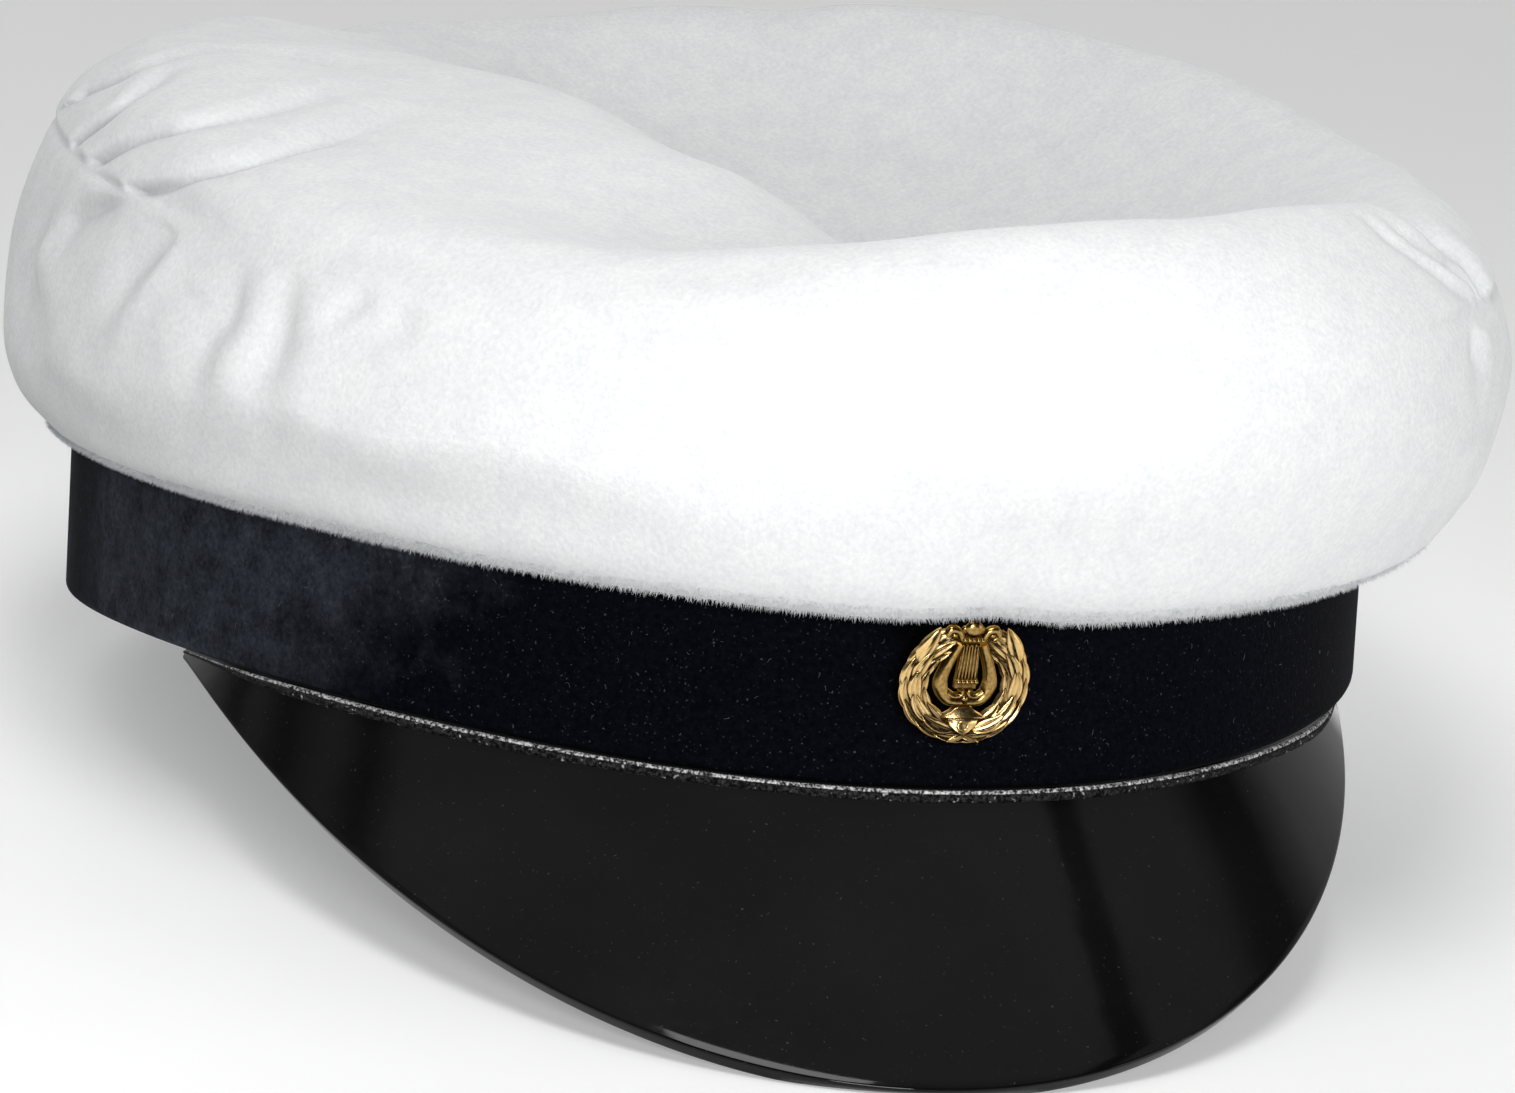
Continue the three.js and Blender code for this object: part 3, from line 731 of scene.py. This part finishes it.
PILE_SEED = 7
PILE_COUNT = 45000
PILE_PLACES = (1.75, 2.25)
PILE_LONG = (0.35, 1.1)
PILE_WIDE = 0.09
PILE_SPREAD = 0.55
PILE_SUNK = 0.05
PILE_CORNERS = (0, 120, 240)
PILE_FACES = ((0, 2, 1), (0, 1, 3), (1, 2, 3), (2, 0, 3))
PILE_SHARP = 1


def make_pile(look, outer, normals, places):
    """Stray fibres of the pile along the lower fold, each a thin closed spike."""
    rng = np.random.default_rng(PILE_SEED)
    first, last = (int(np.argmin(np.abs(places - p))) for p in PILE_PLACES)
    i = rng.integers(0, len(outer), PILE_COUNT)
    j = rng.integers(first, last, PILE_COUNT)
    a, b = rng.random((2, PILE_COUNT, 1))
    n = (i + 1) % len(outer)
    here = (1 - b) * outer[i, j] + b * outer[i, j + 1]
    beside = (1 - b) * outer[n, j] + b * outer[n, j + 1]
    out = normals[i, j]
    way = unit(out + PILE_SPREAD * rng.normal(size=(PILE_COUNT, 3)))
    side = unit(np.cross(way, rng.normal(size=(PILE_COUNT, 3))))
    other = np.cross(way, side)
    long = rng.uniform(*PILE_LONG, (PILE_COUNT, 1))
    foot = (1 - a) * here + a * beside - PILE_SUNK * out
    half = PILE_WIDE / 2
    corners = [foot + half * (np.cos(t) * side + np.sin(t) * other) for t in np.radians(PILE_CORNERS)]
    points = np.stack([*corners, foot + long * way], axis=1).reshape(-1, 3)
    start = 4 * np.arange(PILE_COUNT)[:, None, None]
    faces = (start + np.array(PILE_FACES)).reshape(-1, 3).tolist()
    piece("crown_pile", points, faces, [look], "crown_velvet", None, sharp=PILE_SHARP)


def make_crown(look):
    angles = round_angles()
    places = np.concatenate([SIDE_PLACES[:-1], TOP_PLACES])
    base = crown_surface(angles, places)
    normals = grid_normals(base)
    normals[:, -1] = (0, 0, 1)
    outer = base + crown_detail(angles, places, base, normals)[..., None] * normals
    inner = outer - CROWN_WALL * normals
    rim = len(SIDE_PLACES) - 1

    def shell(columns, first, last, wraps, name, node):
        rings = np.unique(np.append(np.arange(first, last + 1, INNER_EVERY), last))
        inside = inner[columns][:, rings[::-1]]
        sections = np.concatenate([outer[columns, first:last + 1], inside], axis=1)
        swept(name, sections, wraps, [look], "crown_velvet", node)

    front = int(np.argmin(np.abs(angles)))
    every = np.arange(len(angles))
    shell(every, rim, len(places) - 1, True, "crown_top_cloth", "crown_top")
    shell(np.append(every[front:], 0), 0, rim, False, "crown_side_left_cloth", "crown_side_left")
    shell(every[:front + 1], 0, rim, False, "crown_side_right_cloth", "crown_side_right")
    make_pile(look, outer, normals, places)


BAND_STEP = 0.75  # degrees
BAND_EDGE_ROWS = 13
BAND_FACE_ROWS = 21


def make_band(look):
    angles = np.arange(-180, 180, BAND_STEP)
    low = edge_high(angles)
    top = crown_at("fold_high", angles) + BAND_TUCK
    points = []
    for turn in np.radians(np.linspace(-90, 90, BAND_EDGE_ROWS)):
        out = EDGE_RADIUS * (np.sin(turn) - 1)
        points.append(pressed(band_point(angles, out, low + EDGE_RADIUS * (1 - np.cos(turn)))))
    for share in np.linspace(0, 1, BAND_FACE_ROWS + 1)[1:]:
        rise = share * (top - EDGE_RADIUS - low - EDGE_RADIUS)
        points.append(band_point(angles, 0.0, low + EDGE_RADIUS + rise))
    points.append(band_point(angles, -EDGE_RADIUS / 2, top))
    points.append(band_point(angles, -BAND_WALL, top))
    points.append(band_point(angles, -BAND_WALL, (low + top) / 2))
    swept("band_cloth", np.stack(points, axis=1), True, [look], "band_velvet", "band")


LINT_SEED = 11
LINT_COUNT = 110
LINT_SPAN = (-75.0, 55.0)  # angles
LINT_LONG = (0.12, 0.75)
LINT_WIDE = (0.03, 0.055)
LINT_BEND = 0.3
LINT_SIDES = 5
LINT_STEPS = 6
LINT_OFF = 0.12  # above the band's face


def make_lint(look):
    """White fibres lying on the front of the band, each a thin bent rod."""
    rng = np.random.default_rng(LINT_SEED)
    rods = Relief()
    for _ in range(LINT_COUNT):
        angle = rng.uniform(*LINT_SPAN)
        top = float(crown_at("fold_high", np.array([angle]))[0])
        high = rng.uniform(edge_high(angle) + 2 * EDGE_RADIUS, top)
        long = rng.uniform(*LINT_LONG)
        way = rng.uniform(0, 2 * np.pi)
        bend = rng.normal(0, LINT_BEND)
        half = rng.uniform(*LINT_WIDE) / 2
        t = np.linspace(-0.5, 0.5, LINT_STEPS)
        along = long * t
        aside = bend * long * (4 * t ** 2 - 1)
        round_band = np.degrees((along * np.cos(way) - aside * np.sin(way)) / MEAN_RADIUS)
        up = along * np.sin(way) + aside * np.cos(way)
        sections = []
        for turn in np.linspace(0, 2 * np.pi, LINT_SIDES, endpoint=False):
            sideways = half * np.cos(turn)
            place = angle + round_band - np.degrees(sideways * np.sin(way) / MEAN_RADIUS)
            out = LINT_OFF + half * np.sin(turn)
            sections.append(band_point(place, out, high + up + sideways * np.cos(way)))
        points = np.stack(sections, axis=1).reshape(-1, 3)
        rods.add(points.tolist(), loop_faces(LINT_STEPS, LINT_SIDES, False))
    piece("band_lint", np.array(rods.points), rods.faces, [look], "band_velvet", None)


PIPING_SIDES = 24
PIPING_STEPS = 2400
PIPING_PITCH = 0.42  # of the fine ridges across the cord
PIPING_RIDGE = 0.05
PIPING_GROOVE = (0.72, 0.1, 0.35)  # below the strand: place (0 below, 1 above), half width, share of radius
PIPING_STRAND_END = 1.2  # the strand's other edge
PIPING_SHY = 0.8  # its ends stop this many degrees short


def make_piping(roll, strand_and_painted_highlight):
    """A dark roll of satin with a thin pale strand along its upper side, its paleness partly painted
    highlight.
    """
    last = PEAK_HALF_ANGLE - PIPING_SHY
    turns = np.linspace(-last, last, PIPING_STEPS)
    angle, _, steep, _ = peak_line(turns)
    full = smoothstep(last - np.abs(turns), 0, PIPING_TAPER)
    radius = (PIPING_END + (PIPING_THICK - PIPING_END) * full) / 2
    reach = EDGE_RADIUS + radius + GAP
    rise = EDGE_RADIUS - radius
    along = np.sqrt(reach ** 2 - rise ** 2)
    out = -EDGE_RADIUS + along * np.cos(steep) - rise * np.sin(steep)
    high = edge_high(angle) + EDGE_RADIUS - along * np.sin(steep) - rise * np.cos(steep)
    line = band_point(angle, out, high)
    length = np.concatenate([[0], np.cumsum(np.linalg.norm(np.diff(line, axis=0), axis=1))])
    points = []
    groove_at, groove_wide, groove_deep = PIPING_GROOVE
    places = np.linspace(0, 2, PIPING_SIDES, endpoint=False)
    for place in places:
        wave = np.cos(2 * np.pi * length / PIPING_PITCH + np.pi * place)
        groove = groove_deep * bell(place - groove_at, groove_wide)
        r = radius * (1 - PIPING_RIDGE + PIPING_RIDGE * wave - groove)
        points.append(band_point(angle, out + r * np.sin(np.pi * place), high - r * np.cos(np.pi * place)))
    # faces of the pale strand on the upper side: partly painted highlight
    pale = [1 if groove_at < place < PIPING_STRAND_END else 0 for place in places]
    which = pale * (len(turns) - 1) + [0, 0]
    sections = np.stack(points, axis=1)
    swept("piping_cord", sections, False, [roll, strand_and_painted_highlight], "piping_satin", "piping", which)


PEAK_COLUMNS = 241
PEAK_TOP_ROWS = 36
PEAK_UNDER_ROWS = 12
PEAK_CORNER = (22.5, 45, 67.5, 90)  # degrees round its rounded edge


def make_peak(look, lining):
    turns = np.linspace(-PEAK_HALF_ANGLE, PEAK_HALF_ANGLE, PEAK_COLUMNS)
    _, down, _, length = peak_line(turns)
    seat = peak_seat(turns)
    normal = peak_normal(turns)
    flat = length - PEAK_CHAMFER
    level = np.zeros_like(flat)
    top = [(share * flat, level) for share in np.linspace(0, 1, PEAK_TOP_ROWS)]
    corner = []
    for turn in np.radians(PEAK_CORNER):
        corner.append((flat + PEAK_CHAMFER * np.sin(turn), level - PEAK_CHAMFER * (1 - np.cos(turn))))
    low_corner = [(a, -PEAK_WALL - h) for a, h in reversed(corner)]
    under = [(share * flat, level - PEAK_WALL) for share in np.linspace(1, 0, PEAK_UNDER_ROWS)]
    profile = top + corner + low_corner + under
    points = [seat + a[:, None] * down + h[:, None] * normal for a, h in profile]
    sections = pressed(np.stack(points, axis=1))
    loop = len(profile)
    glossy = loop - len(under)
    which = [1 if glossy <= k < loop - 1 else 0 for k in range(loop)] * (len(turns) - 1) + [0, 0]
    swept("peak_leather", sections, False, [look, lining], "peak_patent", "peak", which, mirrored=True)


# Badge: a lyre in a laurel wreath, worked out flat, with x to the viewer's right, z up and its heights
# towards the viewer

BADGE_DISH = (0.03, 0.56)  # its lower half curves forward: how fast, and how much of that it is drawn up
WREATH_HALF_WIDTH = 6.4
WREATH_HALF_HEIGHT = 6.05
BRANCH_TURNS = (-86, -60, -30, 0, 30, 60)
BRANCH_SIZES = ((1.2, 3.0, 1.2), 0.35)
# Lanes of leaves along each branch: first and last foot (degrees up from the viewer's right), how many, how
# long (degrees), how far out from the branch at foot and tip, how wide, and how high it lies
LANES = (
    (-103, 34, 7, 44, 0.75, 1.2, 1.9, 0.05),
    (-70, 26, 5, 44, -0.75, -1.25, 1.7, 0.15),
    (-80, 30, 5, 46, 0.0, 0.05, 2.0, 0.4),
)
LANE_STEPS = (17, 15)
LANE_THICK = 0.5
LANE_RISE = (0.35, 0.25)  # how far a leaf rises to its tip: its face and its base
LANE_RIDGE = (0.11, 3)  # height and number of its ridges
# Single leaves of each side: foot, direction in degrees and turn from it, length, width, lift and height
SIDE_LEAVES = (
    (-0.4, -6.5, -90, 68, 2.6, 1.0, 0.2, 0.4),
    (6.5, 2.7, 90, 25, 5.3, 2.2, 0.5, 0.5),
    (4.6, 5.0, 90, 50, 2.6, 1.6, 0.3, 0.5),
)
LEAF_STEPS = 13
LEAF_THICK = 0.55
LEAF_BASE = 0.7  # how much of the lift its base has
LEAF_RIB = (0.16, 0.14)  # height and half width of its midrib
LEAF_GROOVE = (0.12, 0.38, 0.12)  # its grooves: depth, how far out, and half width
RIBBON_ACROSS = 9
RIBBON_EDGE = 0.35  # how much of a ribbon's thickness its edges have
RIBBON_ROUND = 0.97
BEAD_RINGS = 8
BEAD_SIDES = 12
# Ribbons of each side of the lyre, its arm, curl and scroll: path, three widths, thickness and height
LYRE_RIBBONS = (
    (((0.3, -2.1), (2.0, -1.85), (3.1, -0.1), (2.9, 1.7), (1.5, 5.3)), (1.2, 1.75, 1.1), 1.25, 0.0),
    (((2.3, -0.9), (1.4, -1.35), (0.5, -1.15), (0.4, -0.6), (0.9, -0.5)), (1.0, 0.65, 0.35), 0.8, 0.4),
    (((1.3, 5.9), (1.9, 6.9), (2.8, 7.1), (3.2, 6.4), (2.6, 6.0)), (0.8, 1.1, 0.5), 0.8, 0.4),
)
# Its board and bars: half widths below and above, lower and upper edge, thickness and height
LYRE_PLATES = (
    (1.38, 1.15, 0.3, 5.3, 0.6, 0.1),
    (1.4, 1.4, -0.4, 0.3, 0.6, 0.1),
    (1.4, 1.4, 0.3, 0.9, 0.75, 0.1),
    (1.3, 1.3, 5.6, 6.4, 0.8, 0.2),
)
# Its strings: how many, how far out, path as (share of that, z), three widths, thickness, height and steps
STRINGS = (6, 0.8, ((1.3, 0.6), (1.2, 2.8), (1.1, 5.1)), (0.24, 0.22, 0.2), 0.2, 0.65, 6)
BEAD_ROWS = ((0.6, 0.3, 0.8), (6.0, 0.3, 0.95), (5.2, 0.17, 0.7))  # z, radius and height
BEAD_ROW = (1.1, 5)  # how far out, and how many
# Single beads: x, z, radius, height and flatness
BEADS = (
    (-2.4, 6.5, 0.4, 0.6, 0.8),
    (2.4, 6.5, 0.4, 0.6, 0.8),
    (0, 7.25, 1.15, 0.2, 0.5),
    (-0.85, 7.0, 0.7, 0.2, 0.5),
    (0.85, 7.0, 0.7, 0.2, 0.5),
    (0, -1.6, 0.45, 0.6, 0.7),
)
# Plates under the lyre, their right halves from below: points, thickness and height
FOOT_PLATES = (
    (((2.67, -4.15), (2.6, -3.95), (1.6, -3.4), (1.2, -2.95), (0.7, -2.7)), 0.95, 0.1),
    (((0.25, -6.6), (1.75, -5.2), (1.95, -4.3)), 0.7, 0.3),
)
FOOT_RING = (-5.2, 0.6, 0.5, 0.2, 9)  # z of its middle, radius, where it starts and how far it laps, points
FOOT_RING_SIZES = ((0.3, 0.3, 0.3), 0.3, 0.9)


class Relief:
    """Closed raised shapes that are joined into one mesh."""

    def __init__(self):
        self.points = []
        self.faces = []

    def add(self, points, faces):
        start = len(self.points)
        self.points.extend(points)
        self.faces.extend([[start + i for i in face] for face in faces])

    def grid(self, x, z, high, base):
        """A closed shape over rows and columns of points, between its raised face and its base."""
        both = np.concatenate([points_of(x, high, z), points_of(x, base, z)])
        count = x.size
        i = np.arange(count).reshape(x.shape)
        quads = np.stack([i[:-1, :-1], i[:-1, 1:], i[1:, 1:], i[1:, :-1]], axis=-1).reshape(-1, 4)
        edge = np.concatenate([i[0], i[1:, -1], i[-1, -2::-1], i[-2:0:-1, 0]])
        after = np.roll(edge, -1)
        walls = np.stack([after, edge, count + edge, count + after], axis=-1)
        faces = np.concatenate([quads, count + quads[:, ::-1], walls])
        self.add(both.reshape(-1, 3).tolist(), faces.tolist())

    def leaf(self, x, z, turn, long, wide, lift, low):
        """A pointed leaf with a midrib and grooves, from its foot at (x, z)."""
        u = np.linspace(0, 1, LEAF_STEPS)[:, None]
        v = np.linspace(-1, 1, LEAF_STEPS)[None, :]
        along = u * long
        across = v * wide / 2 * np.sin(np.pi * u ** 0.8) ** 0.85
        swell = (1 - v ** 2) ** 0.6 * np.sin(np.pi * np.clip(u, 0.02, 0.98)) ** 0.4
        rib_high, rib_wide = LEAF_RIB
        groove_deep, groove_out, groove_wide = LEAF_GROOVE
        lines = rib_high * bell(v, rib_wide) - groove_deep * bell(np.abs(v) - groove_out, groove_wide)
        c = np.cos(turn)
        s = np.sin(turn)
        high = low + LEAF_THICK * swell + lift * u + lines
        self.grid(x + along * c - across * s, z + along * s + across * c, high, low + LEAF_BASE * lift * u)

    def lane_leaf(self, side, foot, long, out, tip_out, wide, low):
        """A pointed, ribbed leaf that follows the curve of the wreath."""
        u = np.linspace(0, 1, LANE_STEPS[0])[:, None]
        v = np.linspace(-1, 1, LANE_STEPS[1])[None, :]
        half = wide / 2 * np.sin(np.pi * u ** 0.75) ** 0.8
        turn = np.radians(foot + long * u)
        away = out + (tip_out - out) * u + v * half
        x = side * (WREATH_HALF_WIDTH + away) * np.cos(turn)
        z = (WREATH_HALF_HEIGHT + away) * np.sin(turn)
        edge = np.sin(np.pi * np.clip(u, 0.01, 0.99)) ** 0.35
        swell = LANE_THICK * np.sqrt(1 - 0.96 * v ** 2) + LANE_RIDGE[0] * np.cos(LANE_RIDGE[1] * np.pi * v)
        self.grid(x, z, low + LANE_RISE[0] * u + edge * swell, low + LANE_RISE[1] * u)

    def ribbon(self, points, wide, thick, low=0.0, steps=40):
        """A raised rounded band along a path, its width given at the two ends and the middle."""
        path = path_through([(x, 0, z) for x, z in points], steps)
        t = unit(np.gradient(path, axis=0))
        v = np.linspace(-1, 1, RIBBON_ACROSS)[None, :]
        aside = np.interp(np.linspace(0, 1, steps), (0, 0.5, 1), wide)[:, None] / 2 * v
        swell = RIBBON_EDGE + (1 - RIBBON_EDGE) * np.sqrt(1 - RIBBON_ROUND * v ** 2)
        self.grid(path[:, :1] - aside * t[:, 2:], path[:, 2:] + aside * t[:, :1], low + thick * swell, low)

    def plate(self, half_outline, thick, low, bevel=0.15):
        """A flat plate with a bevelled edge, from the right half of its outline, going up."""
        mirrored = [(-x, z) for x, z in half_outline]
        outline = np.array([mirrored[0], *half_outline, *mirrored[:0:-1]])
        middle = outline.mean(0)
        inner = outline + bevel * unit(middle - outline)
        rings = [(outline, low), (outline, low + thick - bevel), (inner, low + thick)]
        points = [[x, high, z] for ring, high in rings for x, z in ring]
        self.add(points, loop_faces(len(rings), len(outline), False))

    def bead(self, x, z, radius, low, flat=1.0):
        u = np.linspace(0, np.pi, BEAD_RINGS + 1)[:, None]
        v = np.linspace(0, 2 * np.pi, BEAD_SIDES, endpoint=False)[None, :]
        px = x + radius * np.sin(u) * np.cos(v)
        pz = z + radius * np.sin(u) * np.sin(v)
        high = low + flat * radius * (1 + np.cos(u))
        points = points_of(px, high, pz).reshape(-1, 3)
        self.add(points.tolist(), loop_faces(BEAD_RINGS + 1, BEAD_SIDES, False)[:-2])


def wreath_side(relief, side):
    turns = np.radians(BRANCH_TURNS)
    branch = zip(side * WREATH_HALF_WIDTH * np.cos(turns), WREATH_HALF_HEIGHT * np.sin(turns))
    relief.ribbon(branch, *BRANCH_SIZES)
    for first, last, count, *sizes in LANES:
        for foot in np.linspace(first, last, count):
            relief.lane_leaf(side, foot, *sizes)
    for x, z, direction, turn, *sizes in SIDE_LEAVES:
        relief.leaf(side * x, z, np.radians(direction + side * turn), *sizes)


def foot(relief):
    for half_outline, thick, low in FOOT_PLATES:
        relief.plate(half_outline, thick, low)
    middle, radius, start, lap, count = FOOT_RING
    turns = np.linspace(start, 2 * np.pi + lap, count)
    relief.ribbon(zip(radius * np.cos(turns), middle + radius * np.sin(turns)), *FOOT_RING_SIZES)


def lyre(relief):
    for side in (-1, 1):
        for path, *sizes in LYRE_RIBBONS:
            relief.ribbon([(side * x, z) for x, z in path], *sizes)
    for below, above, low_edge, high_edge, thick, low in LYRE_PLATES:
        relief.plate(((below, low_edge), (above, high_edge)), thick, low)
    count, far, path, *sizes = STRINGS
    for share in np.linspace(-far, far, count):
        relief.ribbon([(x * share, z) for x, z in path], *sizes)
    for x in np.linspace(-BEAD_ROW[0], *BEAD_ROW):
        for sizes in BEAD_ROWS:
            relief.bead(x, *sizes)
    for bead in BEADS:
        relief.bead(*bead)


def make_badge(bright, painted_recess_shade):
    """The wreath and foot in bright gold; the lyre, which lies deeper, in a darker copy of it with painted
    shade.
    """
    relief = Relief()
    for side in (-1, 1):
        wreath_side(relief, side)
    foot(relief)
    bright_faces = len(relief.faces)
    lyre(relief)
    which = [0] * bright_faces + [1] * (len(relief.faces) - bright_faces)
    x, out, z = np.array(relief.points).T
    dish = BADGE_DISH[0] * np.minimum(z, 0) ** 2
    out = out + dish
    z = z + BADGE_DISH[1] * dish
    lean = np.radians(BADGE_LEAN)
    y = -HALF_LENGTH - BADGE_STAND - out * np.cos(lean) - z * np.sin(lean)
    high = BADGE_HIGH + z * np.cos(lean) - out * np.sin(lean)
    points = points_of(x + BADGE_ACROSS, y, high)
    piece("badge_relief", points, relief.faces, [bright, painted_recess_shade], "badge_gold", "badge", which)


# Stage, light and camera

FLOOR_HALF = 4.0
FLOOR_GLOW = 0.24
# Brightness of the room overhead, against the angle from straight up, to the right where positive
ROOM = (
    (-70, 0.10), (-48, 0.40), (-46, 0.06), (-44, 0.34), (-41, 0.08), (-37, 0.36), (-34, 0.04), (-31, 0.42),
    (0, 0.52), (30, 0.46), (31.0, 0.03), (33.8, 0.03), (34.8, 0.36), (46, 0.30), (51, 0.05), (56, 0.05),
    (63, 0.45), (80, 0.6),
)
ROOM_SPAN = 90.0
# The same against how far a direction points to the back: dark in front, and a bright window low behind
ROOM_BACK = ((-1.0, 0.1), (-0.3, 0.1), (-0.03, 1.0), (0.70, 1.0), (0.80, 5.5), (1.0, 5.5))
LAMPS = (  # name, direction round the cap and height in degrees, distance, side and power
    ("front", -9, 16, 0.75, 0.22, 2.8),
    ("top", -28, 66, 0.65, 0.25, 1.65),
    ("right", 57, 8, 0.7, 0.25, 0.4),
)
LAMP_AIM = np.array([0, -0.03, 0.04])


def make_floor():
    mesh = bpy.data.meshes.new("floor")
    h = FLOOR_HALF
    mesh.from_pydata([(-h, -h, 0), (h, -h, 0), (h, h, 0), (-h, h, 0)], [], [(0, 1, 2, 3)])
    look = Look("pale_floor", Roughness=0.9, Emission_Color=WHITE, Emission_Strength=FLOOR_GLOW)
    look.between(look.noise(60, 3, 0.5), 0.78, 0.81)
    mesh.materials.append(look.material)
    floor = linked("floor", mesh)


def direction(azimuth, elevation):
    a = np.radians(azimuth)
    e = np.radians(elevation)
    return np.array([np.sin(a) * np.cos(e), -np.cos(a) * np.cos(e), np.sin(e)])


def set_up(name, data, axes, place):
    """A lamp or camera at a place, with its right, up and back along three axes."""
    made = linked(name, data)
    rows = [[*(axis[i] for axis in axes), place[i]] for i in range(3)]
    made.matrix_world = Matrix([*rows, [0, 0, 0, 1]])
    return made


def bright_along(room, value, low, high, stops):
    """Brightness that follows a value through a list of stops, each a value and its brightness."""
    most = max(bright for _, bright in stops)
    bars = room.add("ValToRGB", {"Fac": room.ramp(value, low, high)})
    marks = bars.color_ramp.elements
    while len(marks) < len(stops):
        marks.new(0.5)
    for mark, (at, bright) in zip(marks, stops):
        mark.position = (at - low) / (high - low)
        mark.color = grey(bright / most)
    return room.times(bars.outputs["Color"], most)


def make_light():
    for name, way, high, away, side, power in LAMPS:
        lamp = bpy.data.lights.new(name, "AREA")
        lamp.shape = "SQUARE"
        lamp.size = side
        lamp.energy = power
        place = away * direction(way, high)
        back = unit(place - LAMP_AIM)
        right = unit(np.cross((0, 0, 1), back))
        set_up(name, lamp, (right, np.cross(back, right), back), place)
    world = bpy.data.worlds.new("studio")
    bpy.context.scene.world = world
    room = Tree(world)
    parts = room.parts(room.add("TexCoord").outputs["Generated"])
    turn = room.math("ARCTAN2", parts["X"], parts["Z"])
    span = np.radians(ROOM_SPAN)
    background = room.tree.nodes["Background"].inputs
    overhead = bright_along(room, turn, -span, span, [(np.radians(a), b) for a, b in ROOM])
    room.join(overhead, background["Color"])
    room.join(bright_along(room, parts["Y"], -1.0, 1.0, ROOM_BACK), background["Strength"])


def make_camera():
    back = direction(CAMERA_AZIMUTH, CAMERA_ELEVATION)
    level = direction(CAMERA_AZIMUTH + 90, 0)
    rise = np.cross(back, level)
    roll = np.radians(CAMERA_ROLL)
    right = np.cos(roll) * level + np.sin(roll) * rise
    up = np.cos(roll) * rise - np.sin(roll) * level
    across = (PICTURE[0] / 2 - CAP_PIXEL[0]) / FOCAL_PIXELS
    higher = (CAP_PIXEL[1] - PICTURE[1] / 2) / FOCAL_PIXELS
    aimed = unit(back - across * right - higher * up)
    right = unit(np.cross(up, aimed))
    axes = [turned(v) for v in (right, np.cross(aimed, right), aimed)]
    lens = bpy.data.cameras.new("camera")
    lens.sensor_width = SENSOR
    lens.lens = FOCAL_PIXELS / PICTURE[0] * SENSOR
    bpy.context.scene.camera = set_up("camera", lens, axes, laid(back * CAMERA_DISTANCE))


make_camera()
make_floor()
make_light()
bpy.context.scene.view_settings.view_transform = "Standard"
make_crown(white_velvet())
make_band(navy_velvet())
make_lint(lint())
make_piping(
    satin("black_satin", grey(0.003), (0.035, 0.035, 0.037, 1), grey(0.4)),
    satin("pale_satin", (0.02, 0.02, 0.022, 1), grey(0.7), grey(0.9)),
)
make_peak(patent(), peak_lining())
make_badge(
    gold("bright_gold", (0.82, 0.53, 0.19, 1), (0.95, 0.68, 0.32, 1)),
    # a darker copy of the same gold for the lyre: painted shade of its deeper place
    gold("painted_shade_gold", (0.26, 0.16, 0.045, 1), (0.48, 0.31, 0.11, 1)),
)
